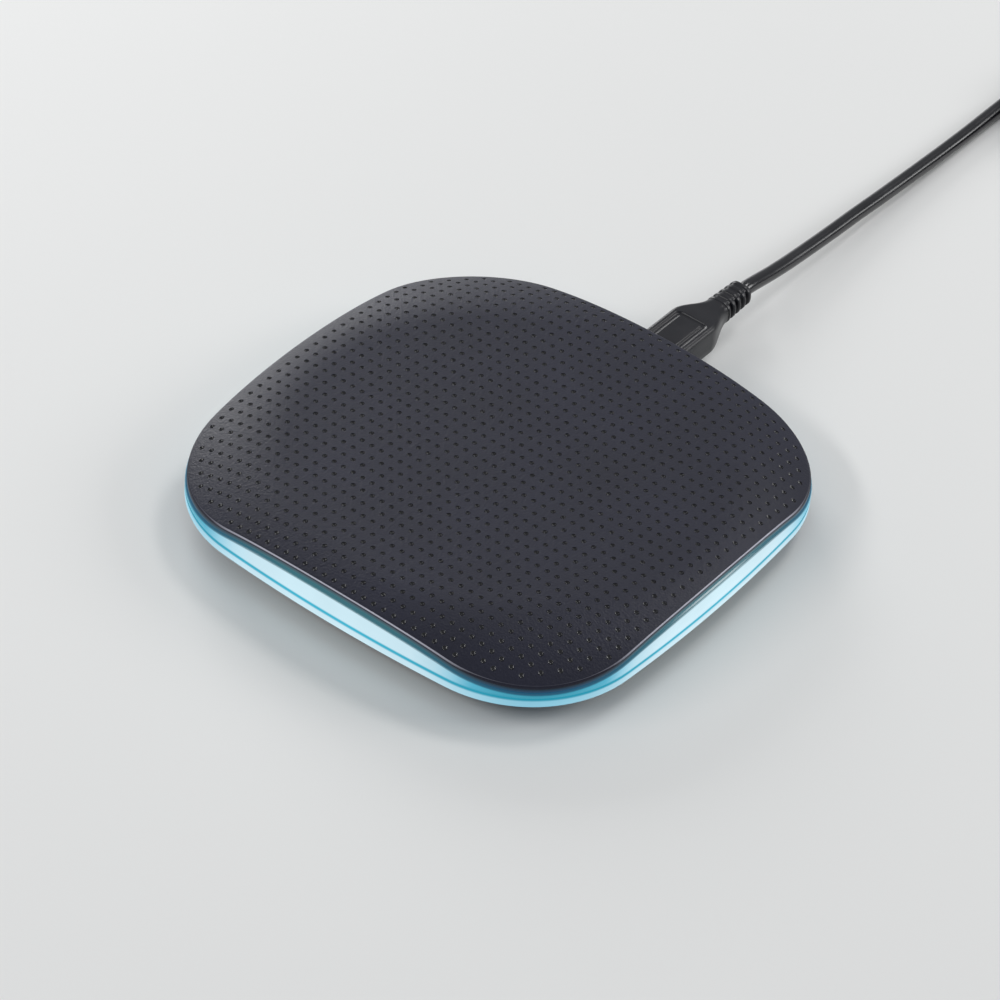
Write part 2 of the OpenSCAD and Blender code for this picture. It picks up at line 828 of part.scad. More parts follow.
module micro_plug_contacts()
    color("gold")
    for (i = [0:contact_count - 1])
        block([contact_w, slot_len - contact_in, contact_t],
              [(i - (contact_count - 1) / 2) * contact_pitch,
               plug_tip + (slot_len + contact_in) / 2,
               socket_z - plug_in_h / 2 + insert_floor]);

module micro_plug_latches()
    color("silver")
    for (x = [-1, 1])
        union() {
            block([latch_w, slot_len - latch_from, latch_t],
                  [x * latch_x, plug_tip + (slot_len + latch_from) / 2,
                   socket_z + plug_in_h / 2 - latch_channel]);
            block(latch_hook, [x * latch_x, plug_tip + latch_hook_in, socket_z + plug_in_h / 2 - latch_t]);
        }

// Places that a route's point has in the pad's frame
function placed(route) = [for (p = route) [p.x, cable_exit + p.y, p.z]];
function unit(v) = v / norm(v);
function heading(route, i) = unit(route[min(i + 1, len(route) - 1)] - route[max(i - 1, 0)]);

// A round tube swept along a route, closed at both ends
module tube(route, r, sides = 8)
    let (
        last = len(route) - 1,
        points = [for (i = [0:last], k = [0:sides - 1])
            let (
                ahead = heading(route, i),
                side = unit(cross(ahead, [0, 0, 1])),
                up = cross(side, ahead),
                a = 360 * k / sides
            )
            route[i] + r * (cos(a) * side + sin(a) * up)],
        walls = [for (i = [0:last - 1], k = [0:sides - 1])
            let (next = (k + 1) % sides)
            [i * sides + k, i * sides + next, (i + 1) * sides + next, (i + 1) * sides + k]],
        ends = [[for (k = [sides - 1:-1:0]) k], [for (k = [0:sides - 1]) last * sides + k]]
    )
    polyhedron(points, concat(walls, ends), convexity = 4);

module cable_lead()
    color("#101012")
    tube(placed(lead_route), cable_r);

module cable_tail()
    color("#101012")
    tube(placed(tail_route), cable_r);

coil_in = lead_coil_r - lead_turns * lead_pitch - cable_r;
coil_out = lead_coil_r + cable_r;
coil_top_in = 2.48; // the upper layer's outer edge is this far inside the lower layer's

module cable_coil()
    color("#101012")
    translate([coil_at.x, cable_exit + coil_at.y, 0])
        rotate_extrude($fn = 96)
            polygon([
                [coil_in, 0], [coil_out, 0], [coil_out, cable_d],
                [coil_out - coil_top_in, cable_d + lead_layer],
                [coil_in, cable_d + lead_layer]
            ]);

// The strap's loop round the coil, standing on the surface
tie_out_w = coil_out - coil_in + 2 * tie_t;
tie_out_h = cable_d + lead_layer + tie_t;
tie_r = 2;

module cable_tie()
    color("#26262a")
    translate([coil_at.x, cable_exit + coil_at.y, 0])
        rotate(tie_turn)
            translate([(coil_in + coil_out) / 2, -tie_w / 2, 0])
                difference() {
                    along_y(0, tie_out_h / 2, tie_w, round_rect(tie_out_w, tie_out_h, tie_r));
                    along_y(-cut, tie_out_h / 2, tie_w + 2 * cut,
                            round_rect(tie_out_w - 2 * tie_t, tie_out_h - 2 * tie_t, tie_r - tie_t));
                }

// The USB-A plug points back towards -Y from the tail's end.
module at_usb_a()
    translate([usb_a_at.x, cable_exit + usb_a_at.y, usb_a_at.z])
        rotate(180)
            children();

usb_a_shell_y = usb_a_relief_len + usb_a_body_len;
usb_a_relief_first = [7.8, 5.6];
usb_a_relief_last = [5.6, 4.8];
usb_a_neck = [8.4, 6]; // width and thickness where the body meets the strain relief
usb_a_neck_r = 2;
usb_a_taper_len = 4;
usb_a_body_r = 1.6;

module usb_a_plug_body()
    color("#242528")
    at_usb_a()
        union() {
            translate([0, usb_a_relief_len, 0])
                mirror([0, 1, 0])
                    strain_relief(0, 0, usb_a_relief_len, usb_a_relief_first.x, usb_a_relief_last.x,
                                  usb_a_relief_first.y, usb_a_relief_last.y);
            hull() {
                round_slab(usb_a_relief_len - slice, 0, slice, usb_a_neck.x, usb_a_neck.y, usb_a_neck_r);
                round_slab(usb_a_relief_len + usb_a_taper_len, 0, slice, usb_a_body_w, usb_a_body_t,
                           usb_a_body_r);
            }
            round_slab(usb_a_relief_len + usb_a_taper_len, 0, usb_a_body_len - usb_a_taper_len,
                       usb_a_body_w, usb_a_body_t, usb_a_body_r);
        }

usb_a_in_w = usb_a_shell_w - 2 * sheet_t;
usb_a_in_h = usb_a_shell_h - 2 * sheet_t;
usb_a_window = 2.2;
usb_a_window_x = 2.6;
usb_a_window_y = 6;
usb_a_insert_in = 0.6; // the insert's tongue ends this far inside the shell's mouth
usb_a_contact_x = [-3.5, -1, 1, 3.5];
usb_a_contact_len = [8.8, 7.8, 7.8, 8.8];
usb_a_contact_w = 1;
usb_a_contact_t = 0.1;

module usb_a_plug_shell()
    color("silver")
    at_usb_a()
        difference() {
            along_y(usb_a_shell_y, 0, usb_a_shell_len,
                    round_rect(usb_a_shell_w, usb_a_shell_h, usb_a_corner + sheet_t));
            along_y(usb_a_shell_y - cut, 0, usb_a_shell_len + 2 * cut,
                    round_rect(usb_a_in_w, usb_a_in_h, usb_a_corner));
            // the four square windows
            for (x = [-usb_a_window_x, usb_a_window_x])
                block([usb_a_window, usb_a_window, 2 * usb_a_shell_h],
                      [x, usb_a_shell_y + usb_a_window_y, -usb_a_shell_h]);
        }

module usb_a_plug_insert()
    color("#e9e9e6")
    at_usb_a()
        union() {
            block([usb_a_in_w - 2 * usb_a_corner, usb_a_shell_len - usb_a_insert_in, usb_a_tongue_t],
                  [0, usb_a_shell_y + (usb_a_shell_len - usb_a_insert_in) / 2, -usb_a_in_h / 2]);
            along_y(usb_a_shell_y, 0, usb_a_back, round_rect(usb_a_in_w, usb_a_in_h, usb_a_corner));
        }

module usb_a_plug_contacts()
    color("gold")
    at_usb_a()
        for (i = [0:3])
            block([usb_a_contact_w, usb_a_contact_len[i], usb_a_contact_t],
                  [usb_a_contact_x[i], usb_a_shell_y + usb_a_back + usb_a_contact_len[i] / 2,
                   usb_a_tongue_t - usb_a_in_h / 2]);

grip_skin();
top_plate();
light_ring();
base_shell();
rubber_feet();
base_screws();
main_board();
coil_carrier();
ferrite_plate();
charging_coil();
coil_leads();
coil_tape();
socket_shell();
socket_tongue();
socket_contacts();
controller_chip();
power_transistors();
resonant_capacitors();
power_inductor();
input_capacitors();
clock_crystal();
temperature_sensor();
ring_leds();
chip_resistors();
micro_plug_body();
micro_plug_shell();
micro_plug_insert();
micro_plug_contacts();
micro_plug_latches();
cable_lead();
cable_coil();
cable_tail();
cable_tie();
usb_a_plug_body();
usb_a_plug_shell();
usb_a_plug_insert();
usb_a_plug_contacts();
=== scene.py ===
import math

import bmesh
import bpy
import numpy as np
from mathutils import Matrix, Vector
from mathutils.geometry import delaunay_2d_cdt


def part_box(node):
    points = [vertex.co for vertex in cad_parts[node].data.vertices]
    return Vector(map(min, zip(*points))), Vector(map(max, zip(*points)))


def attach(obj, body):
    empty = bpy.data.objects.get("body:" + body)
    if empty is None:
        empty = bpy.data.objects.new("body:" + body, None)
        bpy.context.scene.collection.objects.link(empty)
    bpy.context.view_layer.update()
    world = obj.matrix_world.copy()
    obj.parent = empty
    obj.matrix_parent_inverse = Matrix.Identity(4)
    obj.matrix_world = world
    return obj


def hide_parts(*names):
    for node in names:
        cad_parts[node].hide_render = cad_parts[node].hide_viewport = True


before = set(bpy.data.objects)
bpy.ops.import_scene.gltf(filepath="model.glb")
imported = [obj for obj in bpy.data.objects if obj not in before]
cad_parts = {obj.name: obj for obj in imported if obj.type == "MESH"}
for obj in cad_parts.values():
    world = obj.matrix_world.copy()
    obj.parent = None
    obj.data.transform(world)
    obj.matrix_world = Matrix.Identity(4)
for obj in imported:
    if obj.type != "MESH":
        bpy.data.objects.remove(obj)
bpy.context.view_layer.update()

# Lower case -----------------------------------------------------------
# A shallow tray of black ABS, injection moulded, with a fine spark-eroded matt face. Its underside
# curves up to the rim. Four hollow columns take the screws, and the rear wall is open for the socket.

MM = 0.001
PAD_HALF = 48.5  # half the ring's width; every outline below is inset from this one
SIDE_R, CORNER_R = 320.0, 24.5
BASE_IN, BASE_WALL = 2.3, 2.5
BASE_SHOULDER, BASE_RISE = 8.2, 2.8  # the underside's curved margin, and how far it rises
BASE_UNDER, BASE_FLOOR, BASE_TOP = 0.8, 2.2, 4.2
COLUMN = 23.4759  # the columns stand this far from both centre lines
SOCKET_Z = 6.2


def corner_centre(half, side, corner):
    return (half - side + math.sqrt(2 * (side - corner) ** 2 - (side - half) ** 2)) / 2


def rounded_square(inset, half=PAD_HALF, side=SIDE_R, corner=CORNER_R, side_steps=40, corner_steps=24):
    """The pad's outline, that far inside its outermost edge: four wide arcs joined by corner arcs."""
    half, side, corner = half - inset, side - inset, corner - inset
    c = corner_centre(half, side, corner)
    swing = math.atan2(c, c + side - half)
    quarter = []
    for i in range(side_steps):
        a = -swing + 2 * swing * i / side_steps
        quarter.append((half - side + side * math.cos(a), side * math.sin(a)))
    for i in range(corner_steps):
        a = swing + (math.pi / 2 - 2 * swing) * i / corner_steps
        quarter.append((c + corner * math.cos(a), c + corner * math.sin(a)))
    return [p for q in range(4) for p in
            [((x, y), (-y, x), (-x, -y), (y, -x))[q] for x, y in quarter]]


def arc_radius(run, drop):
    return (run * run + drop * drop) / (2 * drop)


def fall(x, y, flat, radius):
    """How far a dome with a flat middle has fallen at a point."""
    run = max(0.0, math.hypot(x, y) - flat)
    return radius - math.sqrt(radius * radius - run * run)


def loft(rings, loop=False):
    """Rings with as many points each, joined one to the next, and closed at both ends or in a loop."""
    n = len(rings[0])
    faces = []
    for i in range(len(rings) if loop else len(rings) - 1):
        a, b = i * n, (i + 1) % len(rings) * n
        faces += [(a + j, a + (j + 1) % n, b + (j + 1) % n, b + j) for j in range(n)]
    points = [p for ring in rings for p in ring]
    if not loop:
        faces += [tuple(range(n)), tuple(range(len(points) - n, len(points)))]
    return points, faces


def turned(profile, x=0.0, y=0.0, loop=False, steps=64):
    """A turned shape about an upright axis. profile is (radius, height) pairs."""
    round_it = [2 * math.pi * k / steps for k in range(steps)]
    return loft([[(x + r * math.cos(a), y + r * math.sin(a), z) for a in round_it]
                 for r, z in profile], loop)


def block(low, high):
    (a, b, c), (d, e, f) = low, high
    return ([(a, b, c), (d, b, c), (d, e, c), (a, e, c), (a, b, f), (d, b, f), (d, e, f), (a, e, f)],
            [(0, 1, 2, 3), (4, 5, 6, 7), (0, 1, 5, 4), (1, 2, 6, 5), (2, 3, 7, 6), (3, 0, 4, 7)])


def solid(name, *parts):
    """One object made of (points in millimetres, faces between them)."""
    shape = bmesh.new()
    for points, faces in parts:
        placed = [shape.verts.new([c * MM for c in p]) for p in points]
        for face in faces:
            shape.faces.new([placed[i] for i in face])
    bmesh.ops.recalc_face_normals(shape, faces=shape.faces)
    mesh = bpy.data.meshes.new(name)
    shape.to_mesh(mesh)
    shape.free()
    thing = bpy.data.objects.new(name, mesh)
    bpy.context.scene.collection.objects.link(thing)
    return thing


def carve(thing, joins=(), cuts=()):
    """Joins solids to a thing, then cuts others out of it."""
    tools = []
    for how, parts in (("UNION", joins), ("DIFFERENCE", cuts)):
        for part in parts:
            tools.append(solid("tool", part))
            step = thing.modifiers.new(how.title(), "BOOLEAN")
            step.operation, step.solver, step.object = how, "EXACT", tools[-1]
    bpy.context.view_layer.update()
    done = bpy.data.meshes.new_from_object(
        thing.evaluated_get(bpy.context.evaluated_depsgraph_get()))
    thing.modifiers.clear()
    thing.data = done
    for tool in tools:
        bpy.data.objects.remove(tool)
    return thing


def fit(thing, finish, body, slot, *replaced, sharp=35.0):
    """Gives a piece its finish and shading, and puts it on its body for the CAD solids it details."""
    shape = bmesh.new()
    shape.from_mesh(thing.data)
    for face in shape.faces:
        face.smooth, face.material_index = True, 0
    for edge in shape.edges:
        edge.smooth = len(edge.link_faces) == 2 and edge.calc_face_angle() < math.radians(sharp)
    shape.to_mesh(thing.data)
    shape.free()
    thing.data.materials.clear()
    thing.data.materials.append(finish)
    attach(thing, body)
    if replaced:
        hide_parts(*replaced)
    return thing


def linear(code):
    """An sRGB hex colour as the linear one that the shaders take."""
    parts = [int(code[i:i + 2], 16) / 255 for i in (1, 3, 5)]
    return [c / 12.92 if c <= 0.04045 else ((c + 0.055) / 1.055) ** 2.4 for c in parts] + [1.0]


def new_finish(name):
    finish = bpy.data.materials.new(name)
    finish.use_nodes = True
    finish.node_tree.nodes.clear()
    return finish


def add(finish, kind, inputs=None, **settings):
    """Adds a node, with its settings, and its inputs as values or as another node's output."""
    node = finish.node_tree.nodes.new("ShaderNode" + kind)
    for name, value in settings.items():
        setattr(node, name, value)
    for name, value in (inputs or {}).items():
        if isinstance(value, bpy.types.NodeSocket):
            finish.node_tree.links.new(value, node.inputs[name])
        else:
            node.inputs[name].default_value = value
    return node


def surface(finish, height, depth, inputs):
    """Ends a finish: a bump of that depth in millimetres, and a shader with those inputs."""
    bump = add(finish, "Bump", {"Height": height, "Distance": depth * MM, "Strength": 1.0})
    shader = add(finish, "BsdfPrincipled", {"Normal": bump.outputs[0], **inputs})
    add(finish, "OutputMaterial", {"Surface": shader.outputs[0]})
    return finish


def moulded(name, colour, patch, roughness, grain, depth, patch_size=12.0, **own):
    """A moulded surface: two near shades in slow patches, a gloss that varies with them, and a grain
    of that size and depth in millimetres."""
    finish = new_finish(name)
    place = add(finish, "TexCoord").outputs["Object"]
    slow = add(finish, "TexNoise", {"Vector": place, "Scale": 1000 / patch_size,
                                    "Detail": 4.0}).outputs["Fac"]
    shade = add(finish, "Mix", {0: slow, 6: linear(colour), 7: linear(patch)}, data_type="RGBA")
    gloss = add(finish, "MapRange", {"Value": slow, "From Min": 0.3, "From Max": 0.7,
                                     "To Min": roughness - 0.05, "To Max": roughness + 0.05})
    fine = add(finish, "TexNoise", {"Vector": place, "Scale": 1000 / grain, "Detail": 2.0})
    return surface(finish, fine.outputs["Fac"], depth, {
        "Base Color": shade.outputs[2], "Roughness": gloss.outputs[0], "IOR": 1.5, **own})


# The eye gets a dull, very slightly sparkling black, without the gloss of the cover's edge. The
# real grain is about 0.1 mm, and is drawn at 0.35 mm so that it shows.
abs_spark_eroded = moulded("abs_moulded_spark_eroded", "#141518", "#1b1c20", 0.5, 0.35, 0.02)

base_reach = math.sqrt(2) * corner_centre(PAD_HALF, SIDE_R, CORNER_R) + CORNER_R - BASE_IN
base_flat = PAD_HALF - BASE_IN - BASE_SHOULDER
base_dome = arc_radius(base_reach - base_flat, BASE_RISE)


def tray_ring(inset, level, share=1.0, curved=True):
    return [(x * share, y * share,
             level + (fall(x * share, y * share, base_flat, base_dome) if curved else 0))
            for x, y in rounded_square(inset)]


tray = loft(
    [tray_ring(BASE_IN, BASE_UNDER, s) for s in (0.66, 0.75, 0.84, 0.9, 0.94, 0.975)]
    + [tray_ring(BASE_IN + 0.35, BASE_UNDER), tray_ring(BASE_IN + 0.1, BASE_UNDER + 0.1),
       tray_ring(BASE_IN, BASE_UNDER + 0.35)]
    + [tray_ring(i, z, curved=False) for i, z in
       ((BASE_IN, BASE_TOP - 0.1), (BASE_IN + 0.1, BASE_TOP), (BASE_IN + BASE_WALL - 0.1, BASE_TOP))]
    + [tray_ring(BASE_IN + BASE_WALL, 4.1, curved=False)]
    + [[(x, y, min(z, 4.0)) for x, y, z in tray_ring(BASE_IN + BASE_WALL + i, BASE_FLOOR + up)]
       for i, up in ((0.0, 0.4), (0.12, 0.12), (0.4, 0.0))]
    + [tray_ring(BASE_IN + BASE_WALL, BASE_FLOOR, s) for s in (0.95, 0.88, 0.8, 0.72)])


def corner_lip(q):
    """The lip that locates the ring in one corner, between the ring's flange and the tray's wall."""
    pairs = [(a, b) for a, b in zip(rounded_square(3.7), rounded_square(4.8))
             if min(a[0] * q[0], a[1] * q[1]) > 20]
    pairs.sort(key=lambda pair: math.atan2(pair[0][1] * q[1], pair[0][0] * q[0]))
    return loft([[(*a, 3.9), (*a, 5.5), (a[0] * 0.998, a[1] * 0.998, 5.6), (*b, 5.6), (*b, 3.9)]
                 for a, b in pairs])


quarters = [(1, 1), (-1, 1), (-1, -1), (1, -1)]
port = block((-4.075, 43.0, 4.65), (4.075, 49.6, 7.75))  # the opening for the socket
case = carve(
    solid("lower_case", tray),
    joins=[corner_lip(q) for q in quarters]
    + [turned([(4.4, 1.3), (4.4, 3.8), (4.3, 3.9), (3.0, 3.9), (3.0, 5.1), (2.8, 5.3)],
              COLUMN * a, COLUMN * b) for a, b in quarters],
    cuts=[turned([(5.05, 0.6), (4.6, 0.9), (4.6, 1.2), (2.1, 1.2), (2.1, 2.7), (1.15, 2.7),
                  (1.15, 6.0)], COLUMN * a, COLUMN * b) for a, b in quarters]
    + [port, block((-6.2, 40.0, 3.7), (6.2, 45.0, 6.0))])
fit(case, abs_spark_eroded, "pad", "base_plastic", "base_shell")

# Circuit board --------------------------------------------------------
# FR4, a laminate of woven glass and epoxy, 1 mm thick under green solder resist. Copper tracks lie
# under the resist as slightly raised and lighter lines. The base's pins come up through its holes.

TRACK_PITCH = 1.9


def dress(node, finish, edge=0.06):
    """Gives a CAD node its finish, and breaks its edges as a mould or a press leaves them."""
    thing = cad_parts[node]
    if not thing.material_slots:
        thing.data.materials.append(None)
    for slot in thing.material_slots:
        slot.link = "OBJECT"
        slot.material = finish
    if edge:
        weld = thing.modifiers.new("Weld", "WELD")
        weld.merge_threshold = 0.001 * MM
        soft = thing.modifiers.new("Edges", "BEVEL")
        soft.width, soft.segments = edge * MM, 2
        soft.limit_method, soft.angle_limit = "ANGLE", math.radians(40)
        soft.use_clamp_overlap = soft.harden_normals = True
    return thing


# The eye gets a glossy green skin with a hint of copper behind it, and tracks in both directions.
resist_on_fr4 = new_finish("solder_resist_printed_on_fr4")
place = add(resist_on_fr4, "TexCoord").outputs["Object"]
tracks = add(resist_on_fr4, "TexBrick", {
    "Vector": place, "Scale": 1000 / (TRACK_PITCH * 4), "Mortar Size": 0.02, "Mortar Smooth": 0.3,
    "Brick Width": 1.7, "Row Height": 0.25, "Color1": linear("#1a5f3d"), "Color2": linear("#1d6b45"),
    "Mortar": linear("#37935f")}, offset=0.37, offset_frequency=2)
weave = add(resist_on_fr4, "TexNoise", {"Vector": place, "Scale": 900.0, "Detail": 3.0})
height = add(resist_on_fr4, "Math", {0: tracks.outputs["Fac"], 1: weave.outputs["Fac"]},
             operation="ADD")
surface(resist_on_fr4, height.outputs[0], 0.03, {
    "Base Color": tracks.outputs["Color"], "Roughness": 0.3, "IOR": 1.5, "Coat Weight": 0.3,
    "Coat Roughness": 0.15})
dress("main_board", resist_on_fr4, 0)

# Socket ---------------------------------------------------------------
# A micro-USB socket: a shell folded from tin-plated steel, soldered to the board by its tabs, with
# a tongue of black liquid-crystal polymer that carries five gold-plated springs.


def plated(name, colour, patch, roughness, line):
    """Plated metal sheet: a thin plating over rolling marks of that spacing in millimetres."""
    finish = new_finish(name)
    place = add(finish, "TexCoord").outputs["Object"]
    long = add(finish, "Mapping", {"Vector": place, "Scale": (1000 / line, 120.0, 1000 / line)})
    marks = add(finish, "TexNoise", {"Vector": long.outputs[0], "Scale": 1.0, "Detail": 3.0})
    slow = add(finish, "TexNoise", {"Vector": place, "Scale": 250.0, "Detail": 3.0})
    shade = add(finish, "Mix", {0: slow.outputs["Fac"], 6: linear(colour), 7: linear(patch)},
                data_type="RGBA")
    gloss = add(finish, "MapRange", {"Value": marks.outputs["Fac"], "To Min": roughness - 0.08,
                                     "To Max": roughness + 0.12})
    return surface(finish, marks.outputs["Fac"], 0.004, {
        "Base Color": shade.outputs[2], "Metallic": 1.0, "Roughness": gloss.outputs[0]})


# The eye gets a soft white metal with faint lines along the rolling direction.
tin_on_steel = plated("tin_plated_on_rolled_steel", "#c9cacd", "#b4b6ba", 0.28, 0.25)
# The eye gets a warm yellow metal, smoother than the tin.
gold_on_bronze = plated("gold_plated_on_bronze", "#e3b858", "#d3a444", 0.22, 0.2)
# The eye gets a dry matt black, a little greyer on its high spots.
lcp_black = moulded("lcp_moulded_black", "#18181a", "#222224", 0.48, 0.2, 0.01)
dress("socket_shell", tin_on_steel, 0.05)
dress("socket_tongue", lcp_black, 0.04)
dress("socket_contacts", gold_on_bronze, 0.015)

# Parts on the board ---------------------------------------------------
# The chips are cast in black epoxy, the capacitors and resistors are fired ceramic with tinned ends,
# and all are soldered flat to the board's copper.

# The eye gets a fine-pored black with a dull sheen.
epoxy_cast = moulded("epoxy_cast_with_silica", "#1c1c1e", "#242427", 0.55, 0.15, 0.015)
dress("controller_chip", epoxy_cast)
dress("power_transistors", epoxy_cast)


def tinned_ends(name, colour, patch, middle, pitch, body):
    """Fired ceramic blocks that repeat along Y, with tinned ends beyond that half length of body."""
    finish = new_finish(name)
    place = add(finish, "TexCoord").outputs["Object"]
    y = add(finish, "SeparateXYZ", {0: place}).outputs["Y"]
    shifted = add(finish, "Math", {0: y, 1: (pitch / 2 - middle) * MM}, operation="ADD").outputs[0]
    turn = add(finish, "Math", {0: shifted, 1: pitch * MM}, operation="FLOORED_MODULO").outputs[0]
    off = add(finish, "Math", {0: turn, 1: pitch / 2 * MM}, operation="SUBTRACT").outputs[0]
    far = add(finish, "Math", {0: off}, operation="ABSOLUTE").outputs[0]
    end = add(finish, "Math", {0: far, 1: body * MM}, operation="GREATER_THAN").outputs[0]
    spots = add(finish, "TexNoise", {"Vector": place, "Scale": 4000.0, "Detail": 2.0}).outputs["Fac"]
    clay = add(finish, "Mix", {0: spots, 6: linear(colour), 7: linear(patch)},
               data_type="RGBA").outputs[2]
    shade = add(finish, "Mix", {0: end, 6: clay, 7: linear("#c4c5c8")}, data_type="RGBA").outputs[2]
    gloss = add(finish, "MapRange", {"Value": end, "To Min": 0.5, "To Max": 0.3}).outputs[0]
    return surface(finish, spots, 0.01, {"Base Color": shade, "Metallic": end, "Roughness": gloss})


# The eye gets a chalky tan block between two bright ends, and black blocks for the resistors.
low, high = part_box("input_capacitors")
dress("input_capacitors", tinned_ends("titanate_fired_tinned_ends", "#a98c63", "#b89b73",
                                      (low.y + high.y) / 2 / MM, 40.0, 1.1))
dress("resonant_capacitors", tinned_ends("titanate_fired_large_tinned_ends", "#b0946b", "#bfa57e",
                                         3.0, 6.0, 1.75))
dress("chip_resistors", tinned_ends("alumina_fired_black_glaze_tinned_ends", "#1d1d20", "#2a2a2d",
                                    -12.0, 3.0, 0.5), 0.04)
# The eye gets a dark grey stone with a pale sparkle where its grains catch the light.
ferrite_pressed = moulded("ferrite_pressed_and_fired", "#333336", "#404043", 0.62, 0.12, 0.02, 3.0)
dress("power_inductor", ferrite_pressed, 0.12)
dress("clock_crystal", tin_on_steel, 0.1)
# The eye gets a bright white block, a touch translucent.
nylon_white = moulded("nylon_moulded_white", "#e6efef", "#f0f6f5", 0.4, 0.2, 0.008, 4.0,
                      **{"Emission Color": linear("#bff2ff"), "Emission Strength": 0.25})
dress("ring_leds", nylon_white, 0.05)

# Coil stack -----------------------------------------------------------
# A flat coil of litz wire, fine enamelled copper strands twisted together and wound in ten turns. It
# lies on a fired ferrite disc in a moulded ring, and adhesive film holds it up to the cover.

COIL_IN, COIL_OUT, COIL_LOW, COIL_HIGH, COIL_TURNS = 10.0, 22.0, 9.2, 11.0, 10


def swept(line, section):
    """A bar along a line of points. section(i, share) gives its outline as (sideways, up) pairs."""
    rings = []
    for i, point in enumerate(line):
        ahead = Vector(line[min(i + 1, len(line) - 1)]) - Vector(line[max(i - 1, 0)])
        side = Vector((ahead.y, -ahead.x, 0)).normalized()
        rings.append([tuple(Vector(point) + side * s + Vector((0, 0, u)))
                      for s, u in section(i, i / (len(line) - 1))])
    return loft(rings)


def litz(i, share):
    """A squashed bundle whose seven twisted strands bulge out round it."""
    pairs = []
    for k in range(28):
        a = 2 * math.pi * k / 28
        bulge = 1 - 0.09 * (0.5 + 0.5 * math.cos(7 * a + i * 0.55)) ** 0.5
        c, s = math.cos(a), math.sin(a)
        pairs.append((0.58 * bulge * math.copysign(abs(c) ** 0.7, c),
                      0.9 * bulge * math.copysign(abs(s) ** 0.7, s)))
    return pairs


TURN_POINTS = 56
turn_w = (COIL_OUT - COIL_IN) / COIL_TURNS
spiral = []
for k in range(TURN_POINTS * COIL_TURNS - 6):
    t = k / TURN_POINTS
    r, a = COIL_IN + turn_w * (0.5 + 0.92 * t), math.radians(-45) + 2 * math.pi * t
    spiral.append((r * math.cos(a), r * math.sin(a), (COIL_LOW + COIL_HIGH) / 2))

# The eye gets a reddish copper under clear enamel, with painted shade where the strands meet.
enamelled_copper = new_finish("copper_drawn_enamelled_twisted")
place = add(enamelled_copper, "TexCoord").outputs["Object"]
strands = add(enamelled_copper, "TexNoise", {"Vector": place, "Scale": 1600.0,
                                             "Detail": 4.0}).outputs["Fac"]
# painted shade: the colour darkens where the strands' bump is low, between them
shade = add(enamelled_copper, "Mix", {0: strands, 6: linear("#7d3b18"), 7: linear("#c9743a")},
            data_type="RGBA")
surface(enamelled_copper, strands, 0.04, {
    "Base Color": shade.outputs[2], "Metallic": 1.0, "Roughness": 0.35, "Coat Weight": 0.6,
    "Coat Roughness": 0.2})
fit(solid("wound_coil", swept(spiral, litz)), enamelled_copper, "pad", "coil_copper",
    "charging_coil", sharp=60)
dress("coil_leads", enamelled_copper, 0)
dress("ferrite_plate", ferrite_pressed, 0.15)
# The eye gets an even off-white with a soft moulded sheen.
pbt_natural = moulded("pbt_moulded_natural", "#dedbd3", "#e8e6df", 0.45, 0.3, 0.01)
dress("coil_carrier", pbt_natural, 0.15)
# The eye gets a pale yellow film that is a little cloudy from its glue.
film_with_glue = moulded("polyester_film_with_glue", "#cfc7a6", "#dbd4b9", 0.35, 0.8, 0.01, 5.0)
dress("coil_tape", film_with_glue, 0)
# The eye gets a dark red bead with a wet gloss, from being dipped.
epoxy_dipped = moulded("epoxy_dipped_bead", "#64140f", "#7d1f18", 0.2, 0.5, 0.01, 2.0)
dress("temperature_sensor", epoxy_dipped, 0)

# Light ring -----------------------------------------------------------
# A ring of clear acrylic with a white diffusing filler, injection moulded. It sits on the tray's
# rim, is lit from inside by sixteen diodes, and has one fine groove moulded round its face.

RING_LOW, RING_WALL, FLANGE_W, FLANGE_H = 4.2, 2.2, 3.5, 1.0
GROOVE_LOW, GROOVE_HIGH, GROOVE_DEEP = 5.95, 6.25, 0.4
COVER_HALF, COVER_SIDE_R, COVER_CORNER_R = 47.9, 420.0, 24.0
COVER_FLAT, COVER_DROP = 39.0, 4.2
PLATE_UNDER, PLATE_TOP, COVER_TOP = 11.4, 12.3, 12.8
cover_reach = math.sqrt(2) * corner_centre(COVER_HALF, COVER_SIDE_R, COVER_CORNER_R) + COVER_CORNER_R
cover_dome = arc_radius(cover_reach - COVER_FLAT, COVER_DROP)


def at_height(outline, z):
    return [(x, y, z) for x, y in outline]


def under_cover(outline, level):
    """The outline lifted to a level that falls away with the cover's dome."""
    return [(x, y, level - fall(x, y, COVER_FLAT, cover_dome)) for x, y in outline]


ring_top = PLATE_UNDER - 0.05
ring = loft(
    [at_height(rounded_square(i), z) for i, z in
     ((FLANGE_W, RING_LOW + FLANGE_H), (FLANGE_W, RING_LOW), (0.25, RING_LOW),
      (0.07, RING_LOW + 0.07), (0.0, RING_LOW + 0.25), (0.0, GROOVE_LOW - 0.08),
      (0.03, GROOVE_LOW - 0.02), (0.1, GROOVE_LOW),
      (GROOVE_DEEP - 0.1, GROOVE_LOW + 0.02), (GROOVE_DEEP, GROOVE_LOW + 0.1),
      (GROOVE_DEEP, GROOVE_HIGH - 0.1), (GROOVE_DEEP - 0.1, GROOVE_HIGH - 0.02),
      (0.1, GROOVE_HIGH), (0.03, GROOVE_HIGH + 0.02), (0.0, GROOVE_HIGH + 0.08))]
    + [under_cover(rounded_square(i), ring_top - d) for i, d in
       ((0.0, 0.3), (0.05, 0.12), (0.18, 0.02), (0.3, 0.0), (RING_WALL, 0.0))]
    + [at_height(rounded_square(RING_WALL), RING_LOW + FLANGE_H)], loop=True)
glow = carve(solid("glowing_ring", ring), cuts=[port])


